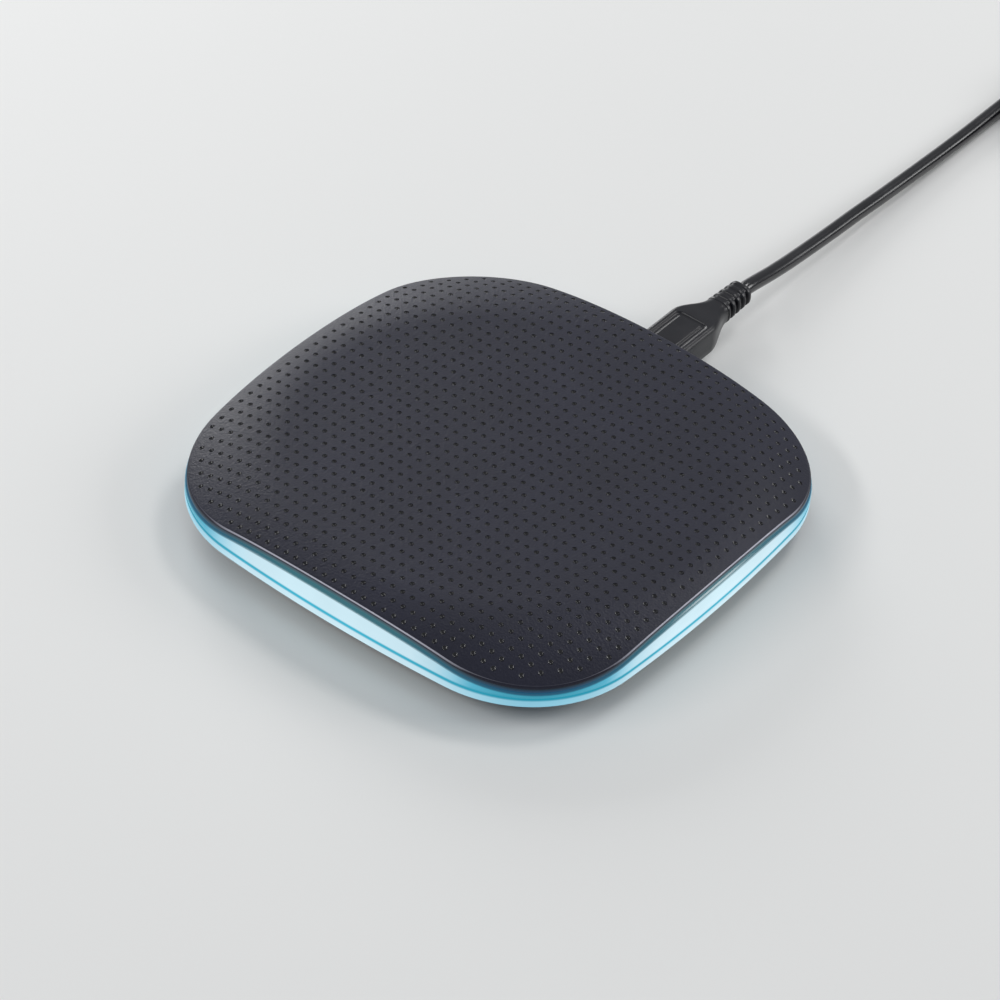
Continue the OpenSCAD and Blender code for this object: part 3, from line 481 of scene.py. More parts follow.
def dome_at(finish, place, level):
    """The position's parts, its distance from the middle, and the height there of a dome like the
    cover's that has its flat at that level."""
    xyz = add(finish, "SeparateXYZ", {0: place}).outputs
    flat = add(finish, "CombineXYZ", {0: xyz["X"], 1: xyz["Y"]}).outputs[0]
    radius = add(finish, "VectorMath", {0: flat}, operation="LENGTH").outputs["Value"]
    run = add(finish, "Math", {0: radius, 1: COVER_FLAT * MM}, operation="SUBTRACT").outputs[0]
    run2 = add(finish, "Math", {0: run, 1: run}, operation="MULTIPLY").outputs[0]
    rest2 = add(finish, "Math", {0: (cover_dome * MM) ** 2, 1: run2}, operation="SUBTRACT").outputs[0]
    rest = add(finish, "Math", {0: rest2}, operation="SQRT").outputs[0]
    height = add(finish, "Math", {0: rest, 1: (level - cover_dome) * MM}, operation="ADD").outputs[0]
    return xyz, radius, height


# The eye gets an ice-white glow along the sides, where the wall is tall and the diodes are near.
# Round the corners the band over the groove turns to a deep cyan, and the one under it stays pale.
acrylic_lit = new_finish("acrylic_moulded_diffusing_lit")
place = add(acrylic_lit, "TexCoord").outputs["Object"]
xyz, radius, top_at = dome_at(acrylic_lit, place, ring_top)
below = add(acrylic_lit, "Math", {0: top_at, 1: xyz["Z"]}, operation="SUBTRACT").outputs[0]
corner = add(acrylic_lit, "MapRange", {"Value": radius, "From Min": 48.5 * MM,
                                       "From Max": 57.2 * MM}).outputs[0]
bands = []
for codes in (((0.0, "#cfebf5"), (0.3, "#cae6f1"), (0.5, "#b7dcea"), (0.66, "#92cce1"),
               (0.8, "#4badc9"), (1.0, "#2b96ae")),
              ((0.0, "#cfebf5"), (0.4, "#c6e4f0"), (0.75, "#a8d5e6"), (1.0, "#88c6dc"))):
    band = add(acrylic_lit, "ValToRGB", {"Fac": corner})
    marks = band.color_ramp.elements
    marks[0].color, marks[1].color = linear(codes[0][1]), linear(codes[-1][1])
    for spot, code in codes[1:-1]:
        marks.new(spot).color = linear(code)
    bands.append(band.outputs[0])
upper_edge = add(acrylic_lit, "MapRange", {"Value": below, "From Min": 0.0, "From Max": 0.26 * MM},
                 interpolation_type="SMOOTHSTEP").outputs[0]
lower_edge = add(acrylic_lit, "MapRange", {"Value": xyz["Z"], "From Min": 4.15 * MM,
                                           "From Max": 4.4 * MM},
                 interpolation_type="SMOOTHSTEP").outputs[0]
edge = add(acrylic_lit, "Math", {0: upper_edge, 1: lower_edge}, operation="MULTIPLY").outputs[0]
off = add(acrylic_lit, "Math", {0: xyz["Z"], 1: (GROOVE_LOW + GROOVE_HIGH) / 2 * MM},
          operation="SUBTRACT").outputs[0]
away = add(acrylic_lit, "Math", {0: off}, operation="ABSOLUTE").outputs[0]
out_of_groove = add(acrylic_lit, "MapRange", {"Value": away, "From Min": 0.14 * MM,
                                              "From Max": 0.62 * MM},
                    interpolation_type="SMOOTHSTEP").outputs[0]
cloud = add(acrylic_lit, "TexNoise", {"Vector": place, "Scale": 90.0, "Detail": 2.0}).outputs["Fac"]
haze = add(acrylic_lit, "MapRange", {"Value": cloud, "To Min": 0.88, "To Max": 1.06}).outputs[0]
over_groove = add(acrylic_lit, "Math", {0: off, 1: 0.0}, operation="GREATER_THAN").outputs[0]
face = add(acrylic_lit, "Mix", {0: over_groove, 6: bands[1], 7: bands[0]}, data_type="RGBA").outputs[2]
rim_glow, groove_glow = (
    add(acrylic_lit, "Mix", {0: corner, 6: linear(side), 7: linear(turn)}, data_type="RGBA").outputs[2]
    for side, turn in (("#3a6770", "#134a68"), ("#3fb2cd", "#2591aa")))
in_edge = add(acrylic_lit, "Mix", {0: edge, 6: rim_glow, 7: face}, data_type="RGBA").outputs[2]
in_groove = add(acrylic_lit, "Mix", {0: out_of_groove, 6: groove_glow, 7: in_edge},
                data_type="RGBA").outputs[2]
light = add(acrylic_lit, "VectorMath", {0: in_groove, "Scale": haze}, operation="SCALE").outputs[0]
surface(acrylic_lit, cloud, 0.02, {
    "Base Color": linear("#1a3a44"), "Emission Color": light, "Emission Strength": 0.95,
    "Roughness": 0.18, "IOR": 1.49})
fit(glow, acrylic_lit, "pad", "ring_acrylic", "light_ring")

# Top plate ------------------------------------------------------------
# A thin domed plate of black ABS, polished where its edge shows above the light. Four bosses under
# it take the screws, and a lip drops inside the ring to locate it.


def cover_outline(inset):
    return rounded_square(inset, COVER_HALF, COVER_SIDE_R, COVER_CORNER_R)


def shrunk(outline, share):
    return [(x * share, y * share) for x, y in outline]


plate = loft(
    [under_cover(shrunk(cover_outline(0), s), PLATE_UNDER) for s in (0.66, 0.76, 0.85, 0.92, 0.96)]
    + [under_cover(cover_outline(i), PLATE_UNDER + up) for i, up in
       ((0.3, 0.0), (0.12, 0.03), (0.02, 0.15), (0.0, 0.3), (0.0, 0.8), (0.04, 0.9))]
    + [under_cover(shrunk(cover_outline(0), s), PLATE_TOP) for s in (0.97, 0.93, 0.86, 0.77, 0.66)])
lip = loft([under_cover(rounded_square(2.4), 10.2), under_cover(rounded_square(2.4), 11.7),
            under_cover(rounded_square(3.6), 11.7), under_cover(rounded_square(3.6), 10.2)], loop=True)
lip_piece = carve(solid("lip", lip), cuts=[block((-7.65, 24, 0), (7.65, 72, 13))])
bosses = [turned([(2.6, 5.3), (2.6, 11.8), (1.0, 11.8), (1.0, 5.3)], COLUMN * a, COLUMN * b, loop=True)
          for a, b in quarters]
cover_plate = solid("cover_plate", plate, *bosses)
whole = bmesh.new()
whole.from_mesh(cover_plate.data)
whole.from_mesh(lip_piece.data)
whole.to_mesh(cover_plate.data)
whole.free()
bpy.data.objects.remove(lip_piece)
# The eye gets a smoky teal edge: a painted glow, emission on the plate's lower edge that stands in
# for the ring's light reflected on it, brightest along its lower side and bluer round the corners.
abs_smoked_painted_glow = new_finish("abs_moulded_smoked_painted_glow_edge")
place = add(abs_smoked_painted_glow, "TexCoord").outputs["Object"]
xyz, radius, under_at = dome_at(abs_smoked_painted_glow, place, PLATE_UNDER)
up = add(abs_smoked_painted_glow, "Math", {0: xyz["Z"], 1: under_at}, operation="SUBTRACT").outputs[0]
glow_toward_ring = add(abs_smoked_painted_glow, "MapRange", {"Value": up, "From Min": 0.9 * MM, "From Max": 0.0}).outputs[0]
cloud = add(abs_smoked_painted_glow, "TexNoise", {"Vector": place, "Scale": 300.0, "Detail": 3.0}).outputs["Fac"]
shade, side, turn = (
    add(abs_smoked_painted_glow, "Mix", {0: share, 6: linear(a), 7: linear(b)}, data_type="RGBA").outputs[2]
    for share, a, b in ((cloud, "#101619", "#161e22"), (glow_toward_ring, "#4c5a68", "#488f9b"),
                        (glow_toward_ring, "#0b2434", "#125784")))
corner = add(abs_smoked_painted_glow, "MapRange", {"Value": radius, "From Min": 49.5 * MM,
                                      "From Max": 57.0 * MM}).outputs[0]
# painted glow: the ring's light on the plate's edge, drawn as the plate's own emission
painted_ring_glow = add(abs_smoked_painted_glow, "Mix", {0: corner, 6: side, 7: turn}, data_type="RGBA").outputs[2]
surface(abs_smoked_painted_glow, cloud, 0.01, {
    "Base Color": shade, "Emission Color": painted_ring_glow, "Emission Strength": 0.6, "Roughness": 0.3,
    "IOR": 1.54, "Specular IOR Level": 0.3})
fit(cover_plate, abs_smoked_painted_glow, "pad", "cover_plastic", "top_plate")

# Grip skin ------------------------------------------------------------
# Half a millimetre of soft TPU, moulded over the plate with a fine leather grain and rows of round
# dimples that keep a telephone from sliding. Its outermost row follows the cover's front and rear.

DIMPLE_X, DIMPLE_Y, DIMPLE_R, DIMPLE_DEEP = 2.2, 2.645, 0.55, 0.34
DIMPLE_MARGIN = 1.55  # no dimple's middle is nearer than this to the cover's edge
BOW_FROM, BOW_OVER = 40.0, 6.2  # rows this far from the middle start to bow, and bow fully after that
RIM_R = 0.38
rim_edge = np.array(cover_outline(0))
edge_points = len(rim_edge)


def dimple_places():
    """The dimples' middles, in rows across the cover that bow with its edge near front and rear."""
    places = []
    for row in range(-18, 18):
        y = (row + 0.5) * DIMPLE_Y
        for k in range(-22, 22):
            x = (k + 0.5) * DIMPLE_X
            bow = x * x / (2 * COVER_SIDE_R) * (max(0.0, abs(y) - BOW_FROM) / BOW_OVER) ** 2
            at = (x, y - math.copysign(bow, y))
            ahead = np.roll(rim_edge, -1, 0) - rim_edge
            to = np.array(at) - rim_edge
            inward = (ahead[:, 0] * to[:, 1] - ahead[:, 1] * to[:, 0]) / np.linalg.norm(ahead, axis=1)
            if inward.min() > DIMPLE_MARGIN:
                places.append(at)
    return places


def top_z(x, y):
    return COVER_TOP - fall(x, y, COVER_FLAT, cover_dome)


RING_POINTS = 10


def dimple_ring(cx, cy, r):
    """Points round a dimple, at that distance from its middle."""
    round_it = [2 * math.pi * k / RING_POINTS for k in range(RING_POINTS)]
    return [(cx + r * math.cos(a), cy + r * math.sin(a)) for a in round_it]


# A dimple's rings, as (radius, depth): a flat lip, a steep wall and a bowl.
dimple_rings = ((DIMPLE_R, 0.0), (0.49, 0.0), (0.46, 0.13), (0.4, 0.19), (0.13, 0.32))
flat_points, holes = [], []
for cx, cy in dimple_places():
    start = len(flat_points)
    flat_points += dimple_ring(cx, cy, DIMPLE_R)
    holes.append((cx, cy, start))
field_edge = len(flat_points)
flat_points += cover_outline(RIM_R + 0.02)
flat_points += cover_outline(0.75)
between = [(field_edge + i, field_edge + (i + 1) % edge_points) for i in range(edge_points)]
_, _, triangles, came_from, _, _ = delaunay_2d_cdt(
    [Vector(p) for p in flat_points], between,
    [list(range(s, s + RING_POINTS)) for _, _, s in holes], 0, 1e-6)
origin = [min(group) for group in came_from]
points = [(x, y, top_z(x, y)) for x, y in flat_points]
faces = []
for triangle in triangles:
    a, b, c = (origin[i] for i in triangle)
    if max(a, b, c) < field_edge and a // RING_POINTS == b // RING_POINTS == c // RING_POINTS:
        continue  # the mouth of a dimple
    faces.append((a, b, c))
walls_from = len(faces)
for cx, cy, start in holes:
    before = list(range(start, start + RING_POINTS))
    for r, deep in dimple_rings[1:]:
        after = list(range(len(points), len(points) + RING_POINTS))
        points += [(x, y, top_z(x, y) - deep) for x, y in dimple_ring(cx, cy, r)]
        faces += [(before[k], before[(k + 1) % RING_POINTS], after[(k + 1) % RING_POINTS], after[k])
                  for k in range(RING_POINTS)]
        before = after
    points.append((cx, cy, top_z(cx, cy) - DIMPLE_DEEP))
    faces += [(before[k], before[(k + 1) % RING_POINTS], len(points) - 1) for k in range(RING_POINTS)]
walls_to = len(faces)
dimple_faces = RING_POINTS * len(dimple_rings)
rim = [under_cover(cover_outline(RIM_R * (1 - math.sin(a))), COVER_TOP - RIM_R * (1 - math.cos(a)))
       for a in np.radians([15, 30, 45, 60, 75, 90])]
rim += [under_cover(cover_outline(i), COVER_TOP - d) for i, d in ((0.0, 0.44), (0.05, 0.5))]
rim += [under_cover(shrunk(cover_outline(0), s), PLATE_TOP) for s in (0.97, 0.93, 0.86, 0.77, 0.66)]
before = list(range(field_edge, field_edge + edge_points))
for ring in rim:
    after = list(range(len(points), len(points) + edge_points))
    points += ring
    faces += [(before[i], before[(i + 1) % edge_points], after[(i + 1) % edge_points], after[i])
              for i in range(edge_points)]
    before = after
faces.append(tuple(before))
skin = solid("dimpled_skin", (points, faces))

# The eye gets a dark charcoal with a hint of violet and a dry satin sheen, broken up by the grain.
# Along the four sides, where its rim bends away, it carries a pale painted highlight and is a little
# smoother.
# The real grain is about 0.25 mm across, and is drawn at 0.5 mm so that it shows.
tpu_leather = new_finish("tpu_moulded_leather_grain")
place = add(tpu_leather, "TexCoord").outputs["Object"]
slow = add(tpu_leather, "TexNoise", {"Vector": place, "Scale": 70.0, "Detail": 3.0}).outputs["Fac"]
pebbles = add(tpu_leather, "TexVoronoi", {"Vector": place, "Scale": 2000.0},
              feature="F1").outputs["Distance"]
pores = add(tpu_leather, "TexNoise", {"Vector": place, "Scale": 3600.0, "Detail": 3.0}).outputs["Fac"]
grain = add(tpu_leather, "Math", {0: pebbles, 1: pores}, operation="ADD").outputs[0]
tone = add(tpu_leather, "Math", {0: slow, 1: pores}, operation="MULTIPLY").outputs[0]
shade = add(tpu_leather, "Mix", {0: tone, 6: linear("#151624"), 7: linear("#25273c")},
            data_type="RGBA").outputs[2]
gloss = add(tpu_leather, "MapRange", {"Value": pores, "From Min": 0.3, "From Max": 0.7, "To Min": 0.4,
                                      "To Max": 0.52}).outputs[0]
lean = add(tpu_leather, "SeparateXYZ", {0: add(tpu_leather, "TexCoord").outputs["Normal"]}).outputs
over = add(tpu_leather, "MapRange", {"Value": lean["Z"], "From Min": 0.84, "From Max": 0.72}).outputs[0]
above = add(tpu_leather, "MapRange", {"Value": lean["Z"], "From Min": 0.25, "From Max": 0.5}).outputs[0]
bend = add(tpu_leather, "Math", {0: over, 1: above}, operation="MULTIPLY").outputs[0]
askew = add(tpu_leather, "Math", {0: lean["X"], 1: lean["Y"]}, operation="MULTIPLY").outputs[0]
diagonal = add(tpu_leather, "Math", {0: askew}, operation="ABSOLUTE").outputs[0]
along_sides = add(tpu_leather, "MapRange", {"Value": diagonal, "From Min": 0.22,
                                            "From Max": 0.06}).outputs[0]
painted_rim_highlight = add(tpu_leather, "Math", {0: bend, 1: along_sides}, operation="MULTIPLY").outputs[0]
# painted highlight: a pale colour on the bend of the rim along the sides, in place of a lamp's
# reflection
shade = add(tpu_leather, "Mix", {0: painted_rim_highlight, 6: shade, 7: linear("#bcbcc9")},
            data_type="RGBA").outputs[2]
keen = add(tpu_leather, "MapRange", {"Value": painted_rim_highlight, "To Min": 0.0, "To Max": 0.2}).outputs[0]
gloss = add(tpu_leather, "Math", {0: gloss, 1: keen}, operation="SUBTRACT").outputs[0]
surface(tpu_leather, grain, 0.035, {"Base Color": shade, "Roughness": gloss, "IOR": 1.48,
                                    "Specular IOR Level": 0.35})
fit(skin, tpu_leather, "pad", "grip_skin", "grip_skin", sharp=70)
# The eye gets pits in a darker colour that is painted shade, and a small glint on one wall,
# because the mould's pins are polished.
tpu_pits_painted_shade = moulded("tpu_polished_pins_painted_shade", "#07070d", "#0d0d15", 0.17, 0.4, 0.001, 4.0,
                   **{"Specular IOR Level": 0.6})
# the pits' darker colour is painted shade inside them
skin.data.materials.append(tpu_pits_painted_shade)
for i in range(walls_from, walls_to):
    if (i - walls_from) % dimple_faces >= RING_POINTS:  # all but its flat lip
        skin.data.polygons[i].material_index = 1

# Screws and feet ------------------------------------------------------
# Four zinc-plated steel screws come up through the tray and the board into the plate's bosses. A
# round foot of moulded rubber is glued into each seat, over the screw's head.

# The eye gets a bluish white metal, a little duller than the socket's tin.
zinc_on_steel = plated("zinc_plated_on_steel", "#b9bdc2", "#a5a9b0", 0.33, 0.3)
dress("base_screws", zinc_on_steel, 0.05)
# The eye gets a soft dead black that dust has greyed a little.
rubber_moulded = moulded("rubber_moulded_matt", "#232323", "#2f2f2e", 0.75, 0.5, 0.02, 3.0)
dress("rubber_feet", rubber_moulded, 0.1)

# Micro-USB plug -------------------------------------------------------
# A folded steel shell round a black insert with five gold springs and two sprung latches. The
# grip and its ribbed strain relief are one moulding of matt PVC, shot over the soldered lead.

NOSE, BODY_END, RELIEF_AT, CABLE_EXIT = 48.9, 58.9, 67.4, 75.4
PANEL_HALF, PANEL_END, GROOVE_W, FRAME_DEEP = 2.4, 58.1, 1.2, 0.28
GRIP_W, GRIP_T, GRIP_R = 9.8, 6.2, 0.9


def smooth(t):
    t = min(1.0, max(0.0, t))
    return t * t * (3 - 2 * t)


def slab(y, z, w, t, r, dent=lambda x, y: 0.0, across=45, waist=None):
    """One section of a moulding along Y: a rectangle with round corners, its top pressed in by dent
    and its sides drawn in to a waist."""
    kept = (waist or w) / 2 - 0.3
    w, t = w / 2, t / 2
    pairs = [(x, t - dent(x, y)) for x in np.linspace(r - w, w - r, across)]
    turns = [(w - r, t - r, 90), (w - r, r - t, 0), (r - w, r - t, -90), (r - w, t - r, 180)]
    for k, (cx, cz, start) in enumerate(turns):
        arc = np.radians(np.linspace(start, start - 90, 8))
        pairs += [(cx + r * math.cos(a), cz + r * math.sin(a))
                  for a in (arc[1:-1] if k == 3 else arc[1:])]
        if k == 0 or k == 2:
            pairs += [((w if k == 0 else -w), cz + (1 if k else -1) * 2 * (t - r) * s / 4)
                      for s in (1, 2, 3)]
        if k == 1:
            pairs += [(x, -t) for x in np.linspace(w - r, r - w, 9)[1:-1]]
    pairs = [p for i, p in enumerate(pairs) if i == 0 or math.dist(p, pairs[i - 1]) > 1e-6]
    if waist:
        squeeze = (waist / 2 - kept) / (w - kept)
        pairs = [(math.copysign(kept + (abs(x) - kept) * squeeze, x) if abs(x) > kept else x, up)
                 for x, up in pairs]
    return [(x, y, z + up) for x, up in pairs]


def frame_groove(x, y):
    """A groove in the shape of a U round the panel on the grip's top, open at the plug's nose."""
    dx, dy = abs(x) - PANEL_HALF, y - PANEL_END
    out = math.hypot(dx, dy) if dx > 0 and dy > 0 else max(dx, dy)
    return FRAME_DEEP * smooth(out / 0.25) * smooth((GROOVE_W - out) / 0.25)


def ribbed(y, start, length, count, share, wide, thick, gap_w, gap_t):
    """Width, thickness and waist of a ribbed strain relief: wide and thick are (first, last) rib.
    The gaps are cut deep into its sides, and are shallow over its top and bottom."""
    step = length / (count - 1 + share)
    at = min(count - 1, int((y - start) / step))
    u = ((y - start) / step - at) / share * 2 - 1
    rib = max(0.0, 1 - abs(u) ** 3) ** 0.5 if u < 1 else 0.0
    k = (y - start) / length
    w, t = wide[0] + (wide[1] - wide[0]) * k, thick[0] + (thick[1] - thick[0]) * k
    return w, t - gap_t * (1 - rib), gap_w + (w - gap_w) * rib


sections = [slab(NOSE + y, SOCKET_Z, GRIP_W - less, GRIP_T - less, r, frame_groove)
            for y, less, r in ((0.0, 0.5, 0.7), (0.07, 0.18, 0.82), (0.25, 0.0, GRIP_R))]
straight = [*np.arange(NOSE + 1, BODY_END - 2, 1.0), *np.arange(BODY_END - 1.9, BODY_END, 0.1)]
sections += [slab(y, SOCKET_Z, GRIP_W, GRIP_T, GRIP_R, frame_groove) for y in straight]
for y in [*np.arange(BODY_END, BODY_END + 1, 0.1), *np.arange(BODY_END + 1, RELIEF_AT, 0.3)]:
    k = smooth((y - BODY_END) / (RELIEF_AT - BODY_END))
    sections.append(slab(y, SOCKET_Z, GRIP_W - 4.5 * k, GRIP_T - 1.6 * k, GRIP_R + 0.9 * k,
                         frame_groove))
for y in np.arange(RELIEF_AT + 0.02, CABLE_EXIT - 0.02, 0.08):
    w, t, waist = ribbed(y, RELIEF_AT, CABLE_EXIT - RELIEF_AT, 5, 0.6, (5.6, 5.0), (4.8, 4.4),
                         3.7, 0.45)
    sections.append(slab(y, SOCKET_Z, w, t, 0.42 * t, waist=waist))
sections.append(slab(CABLE_EXIT, SOCKET_Z, 4.2, 3.6, 1.5))
# The eye gets a soft black with a grey bloom, duller on the flats than on its rounded edges.
pvc_overmoulded = moulded("pvc_overmoulded_matt", "#0f0f14", "#18181e", 0.34, 0.3, 0.012, 6.0,
                          **{"Specular IOR Level": 0.4})
grip = fit(solid("plug_grip", loft(sections)), pvc_overmoulded, "lead", "plug_pvc",
           "micro_plug_body", sharp=50)
dress("micro_plug_shell", tin_on_steel, 0.05)
dress("micro_plug_insert", lcp_black, 0.03)
dress("micro_plug_contacts", gold_on_bronze, 0.015)
dress("micro_plug_latches", tin_on_steel, 0.02)

# Lead -----------------------------------------------------------------
# A round cable, 3 mm across and a metre long with its plugs: four wires in a foil and a smooth
# extruded jacket of black PVC. What isn't in use is wound into a coil of two layers.

CABLE = 3.0
LEAD_ROUTE = [
    (0, 0, 6.2), (0, 2, 6.2), (0, 6, 5.6), (0, 10, 4.95), (0, 16, 4.25), (0, 24, 3.6), (0, 32, 3.1),
    (0, 40, 2.7), (0.1, 48, 2.3), (0.2, 56, 2), (0.3, 64, 1.75), (0.4, 72, 1.55),
    (0.5, 80, 1.5), (0.5, 88, 1.5), (0.5, 96, 1.5), (0.5, 103, 1.5)]
TAIL_ROUTE = [
    (31, 131.5, 4.5), (38, 130.5, 4), (45, 128, 3.3), (51, 124, 2.8), (56, 119, 2.8), (59, 113, 3.4),
    (60, 108, 4), (60, 103, 4)]
WOUND = (24.7, 109.0)  # the coil's middle, from the cable's exit
TIE_AT, TIE_W, TIE_T = -50.0, 8.0, 0.5
LOWER_TURNS, UPPER_TURNS = 4.0, 3.25
OUTER_R, INNER_R, LOWER_STEP, UPPER_GROWTH = 24.2, 11.8, 3.1, 10.2
LOWER_Z, UPPER_Z = 1.5, 4.6


def coiled(t):
    """The lead after t turns: inwards on the surface, up over the last half turn, and outwards."""
    if t <= LOWER_TURNS:
        r, z = OUTER_R - LOWER_STEP * t, LOWER_Z + (UPPER_Z - LOWER_Z) * smooth((t - 3.45) / 0.55)
    else:
        r, z = INNER_R + UPPER_GROWTH * (t - LOWER_TURNS) / UPPER_TURNS, UPPER_Z
    a = 180 - 360 * t
    beside = abs((a - TIE_AT + 180) % 360 - 180) * math.pi / 180 * r
    z += (TIE_T + 0.05) * smooth((11 - beside) / 6)  # lifted by the tie that passes under it
    return (WOUND[0] + r * math.cos(math.radians(a)), WOUND[1] + r * math.sin(math.radians(a)), z)


steps = 16
windings = [coiled(k / steps) for k in range(int((LOWER_TURNS + UPPER_TURNS) * steps) + 1)]
route = LEAD_ROUTE + windings + TAIL_ROUTE
route = [Vector((x, CABLE_EXIT + y, z)) * MM for x, y, z in route]
curve = bpy.data.curves.new("lead_cable", "CURVE")
curve.dimensions = "3D"
curve.bevel_depth, curve.bevel_resolution, curve.resolution_u = CABLE / 2 * MM, 5, 5
curve.use_fill_caps = True
spline = curve.splines.new("BEZIER")
spline.bezier_points.add(len(route) - 1)
for i, (knot, point) in enumerate(zip(spline.bezier_points, route)):
    back, on = route[max(i - 1, 0)], route[min(i + 1, len(route) - 1)]
    way = (on - back).normalized() if 0 < i < len(route) - 1 else Vector((0, 1 if i == 0 else -1, 0))
    knot.co = point
    knot.handle_left = point - way * (point - back).length / 3
    knot.handle_right = point + way * (on - point).length / 3
cable = bpy.data.objects.new("lead_cable", curve)
bpy.context.scene.collection.objects.link(cable)
# The eye gets a smooth glossy black that carries long highlights, over a trace of die lines.
pvc_extruded = moulded("pvc_extruded_glossy", "#0c0c10", "#131317", 0.2, 1.2, 0.004, 8.0,
                       **{"Coat Weight": 0.2, "Coat Roughness": 0.1})
curve.materials.append(pvc_extruded)
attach(cable, "lead")
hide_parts("cable_lead", "cable_coil", "cable_tail")

# Cable tie ------------------------------------------------------------
# A strap of nylon hook-and-loop tape, 8 mm wide, passed through the coil and pressed down on itself.
# Loops cover its face, and its end is cut round.

around = [(17.5, 0.0), (22.6, 0.0), (24.3, 0.9), (24.4, 2.6), (23.0, 4.6), (21.9, 6.3), (20.4, 7.1),
          (17.0, 7.18), (13.6, 7.1), (12.1, 6.4), (11.3, 4.8), (10.8, 2.9), (11.0, 0.9), (12.6, 0.0)]
hug = []
for i in range(len(around)):
    p0, p1, p2, p3 = (np.array(around[(i + k) % len(around)]) for k in (-1, 0, 1, 2))
    for t in np.arange(0, 1, 0.2):
        hug.append(0.5 * (2 * p1 + (p2 - p0) * t + (2 * p0 - 5 * p1 + 4 * p2 - p3) * t ** 2
                          + (3 * p1 - p0 - 3 * p2 + p3) * t ** 3))
hug = np.array([[r, max(0.0, z)] for r, z in hug])
tangent = np.roll(hug, -1, 0) - np.roll(hug, 1, 0)
inward = np.stack([-tangent[:, 1], tangent[:, 0]], 1) / np.linalg.norm(tangent, axis=1)[:, None]
ca, sa = math.cos(math.radians(TIE_AT)), math.sin(math.radians(TIE_AT))


def strap_ring(p, inner, half):
    """The strap's section at one place on its loop, with its two edges rounded over."""
    marks = [(-half, 0.3), (-half + 0.15, 0.0), (0.0, 0.0), (half - 0.15, 0.0), (half, 0.3),
             (half, 0.7), (half - 0.15, 1.0), (0.0, 1.0), (-half + 0.15, 1.0), (-half, 0.7)]
    out = []
    for along, share in marks:
        r, z = p[0] + inner[0] * TIE_T * share, p[1] + inner[1] * TIE_T * share
        out.append((WOUND[0] + r * ca - along * sa, CABLE_EXIT + WOUND[1] + r * sa + along * ca, z))
    return out


loop_part = loft([strap_ring(p, n, TIE_W / 2) for p, n in zip(hug, inward)], loop=True)
FLAP_FROM, FLAP_TO = 27, 43  # the loose end lies on the strap here, over the top of the coil
flap = []
for k in range(FLAP_FROM, FLAP_TO + 1):
    p, n = hug[k % len(hug)], inward[k % len(hug)]
    left = (FLAP_TO - k) / 4
    half = TIE_W / 2 * (1.0 if left >= 1 else math.sqrt(max(0.02, 1 - (1 - left) ** 2)))
    flap.append(strap_ring(p - n * (TIE_T + 0.02), n, half))
strap = solid("coil_strap", loop_part, loft(flap))

# The eye gets a dull dark grey nap of tiny loops. The real loops are about 0.2 mm, and are drawn at
# 0.4 mm so that they show.
nylon_loops = new_finish("nylon_woven_brushed_loops")
place = add(nylon_loops, "TexCoord").outputs["Object"]
loops = add(nylon_loops, "TexVoronoi", {"Vector": place, "Scale": 2500.0},
            feature="F1").outputs["Distance"]
fuzz = add(nylon_loops, "TexNoise", {"Vector": place, "Scale": 1800.0, "Detail": 5.0}).outputs["Fac"]
shade = add(nylon_loops, "Mix", {0: fuzz, 6: linear("#17181a"), 7: linear("#3a3c40")},
            data_type="RGBA").outputs[2]
both = add(nylon_loops, "Math", {0: loops, 1: fuzz}, operation="ADD").outputs[0]
surface(nylon_loops, both, 0.12, {"Base Color": shade, "Roughness": 0.9, "Sheen Weight": 0.35,
                                  "Sheen Roughness": 0.4})
fit(strap, nylon_loops, "lead", "tie_fabric", "cable_tie", sharp=60)

# USB-A plug -----------------------------------------------------------
# The lead's other end: a drawn steel shell round a white insert with four gold contacts, in a grip
# of the same matt PVC with three finger grooves and a ribbed strain relief.

A_X, A_Z, A_CABLE, A_BODY, A_NECK_END, A_FACE = 60.0, 4.0, 178.4, 168.4, 164.4, 146.4
A_W, A_T, A_R = 15.8, 8.0, 1.6


def finger_grooves(x, y):
    """Three shallow grooves across the grip, fading out before its long edges."""
    near = min(abs(y - at) for at in (159.5, 157.0, 154.5))
    return 0.3 * smooth((0.75 - near) / 0.5) * smooth((5.6 - abs(x)) / 0.8)


def a_slab(y, w, t, r, dent=lambda x, y: 0.0, waist=None):
    return [(A_X + x, yy, z) for x, yy, z in slab(y, A_Z, w, t, r, dent, 31, waist)]


sections = [a_slab(A_FACE, 15.0, 7.2, 1.3), a_slab(A_FACE + 0.12, 15.5, 7.7, 1.5),
            a_slab(A_FACE + 0.4, A_W, A_T, A_R)]
sections += [a_slab(y, A_W, A_T, A_R, finger_grooves) for y in np.arange(A_FACE + 1, A_NECK_END, 0.25)]
for y in np.arange(A_NECK_END, A_BODY, 0.25):
    k = smooth((y - A_NECK_END) / (A_BODY - A_NECK_END))
    sections.append(a_slab(y, A_W - 7.4 * k, A_T - 2.0 * k, A_R + 0.6 * k))
for y in np.arange(A_BODY + 0.02, A_CABLE - 0.02, 0.1):
    w, t, waist = ribbed(y, A_BODY, A_CABLE - A_BODY, 5, 0.6, (8.4, 5.6), (6.0, 4.8), 4.6, 0.35)
    sections.append(a_slab(y, w, t, 0.42 * t, waist=waist))
sections.append(a_slab(A_CABLE, 4.2, 3.6, 1.5))
far_grip = fit(solid("usb_a_grip", loft(sections)), pvc_overmoulded, "lead", "plug_pvc",
               "usb_a_plug_body", sharp=50)
# The eye gets a plain milky white, slightly glossy.
lcp_white = moulded("lcp_moulded_white", "#dfe0de", "#e9eae8", 0.38, 0.3, 0.008)
dress("usb_a_plug_shell", tin_on_steel, 0.08)
dress("usb_a_plug_insert", lcp_white, 0.06)
dress("usb_a_plug_contacts", gold_on_bronze, 0.02)

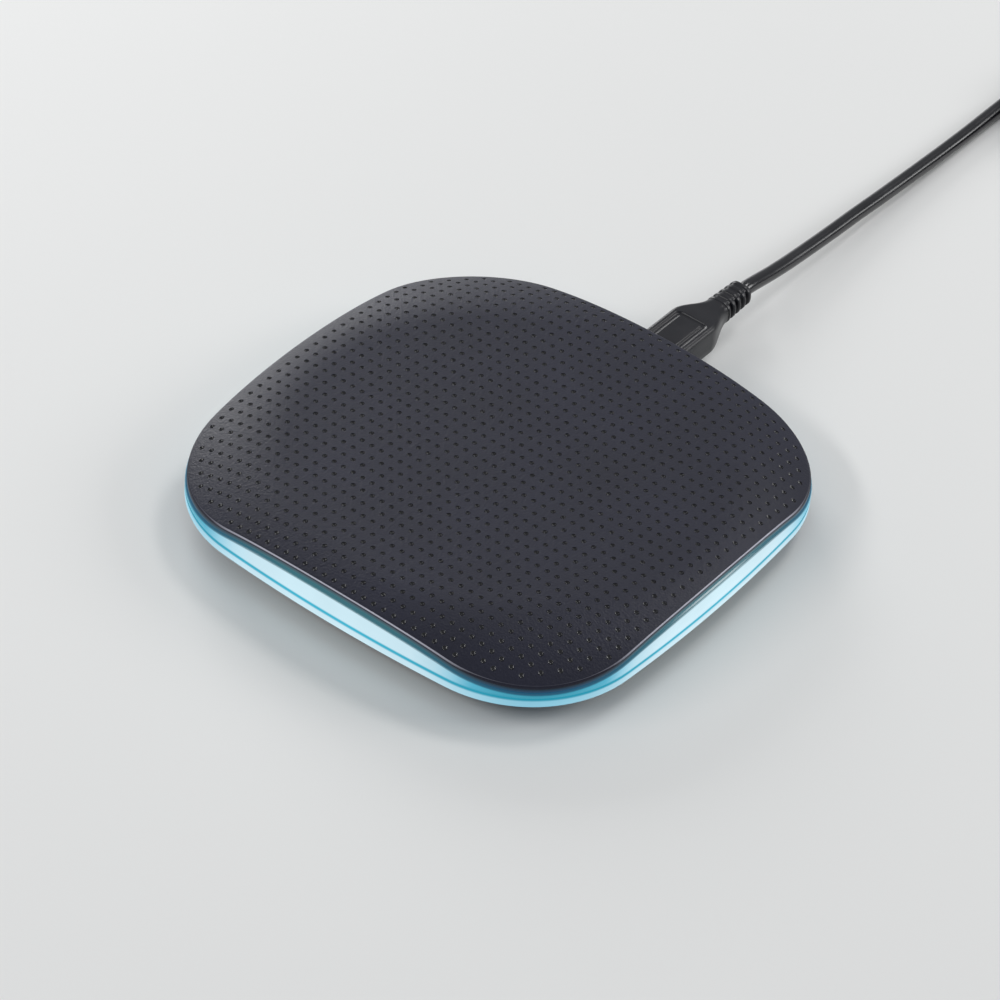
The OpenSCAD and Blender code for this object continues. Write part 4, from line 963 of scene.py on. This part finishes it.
# Table, light and camera ----------------------------------------------
# The pad stands on a plain pale table top, in a pale room with four soft diffusers round it.

table_top = solid("table_top", block((-2500, -2500, -20), (2500, 2500, -0.05)))
# The eye gets an even warm grey-white with a faint eggshell sheen.
painted_table = moulded("paint_sprayed_eggshell", "#e3e3e1", "#e8e8e6", 0.55, 1.5, 0.01, 300.0)
table_top.data.materials.append(painted_table)

world = bpy.data.worlds.new("pale_room")
bpy.context.scene.world = world
world.use_nodes = True
world.node_tree.nodes["Background"].inputs["Color"].default_value = linear("#f2f5fa")
world.node_tree.nodes["Background"].inputs["Strength"].default_value = 0.42


def diffuser(name, at, aim, width, height, power):
    light = bpy.data.lights.new(name, "AREA")
    light.shape, light.size, light.size_y, light.energy = "RECTANGLE", width, height, power
    lamp = bpy.data.objects.new(name, light)
    bpy.context.scene.collection.objects.link(lamp)
    lamp.location = at
    lamp.rotation_euler = (Vector(aim) - Vector(at)).to_track_quat("-Z", "Y").to_euler()


diffuser("right_diffuser", (0.72, 0.72, 0.48), (0, 0.06, 0), 0.45, 0.4, 3.6)
diffuser("left_diffuser", (-0.86, 0.54, 0.33), (0, 0, 0), 0.5, 0.32, 4.4)
diffuser("front_strip", (-0.46, -0.7, 0.66), (0, 0, 0), 0.8, 0.12, 3.4)
diffuser("top_diffuser", (0.05, 0.65, 0.8), (0, 0.08, 0), 0.3, 0.2, 1.9)

eye = bpy.data.cameras.new("eye")
eye.lens, eye.sensor_width = 151.3, 36.0
eye.clip_start, eye.clip_end = 0.05, 20.0
camera = bpy.data.objects.new("eye", eye)
bpy.context.scene.collection.objects.link(camera)
stand, aim = Vector((0.3273, -0.4761, 0.5027)), Vector((-0.0008, 0.0016, 0.0))
toward = (aim - stand).to_track_quat("-Z", "Y").to_matrix().to_4x4()
camera.matrix_world = (Matrix.Translation(stand) @ toward
                       @ Matrix.Rotation(math.radians(5.4), 4, "Z"))
bpy.context.scene.camera = camera
bpy.context.scene.view_settings.view_transform = "Standard"
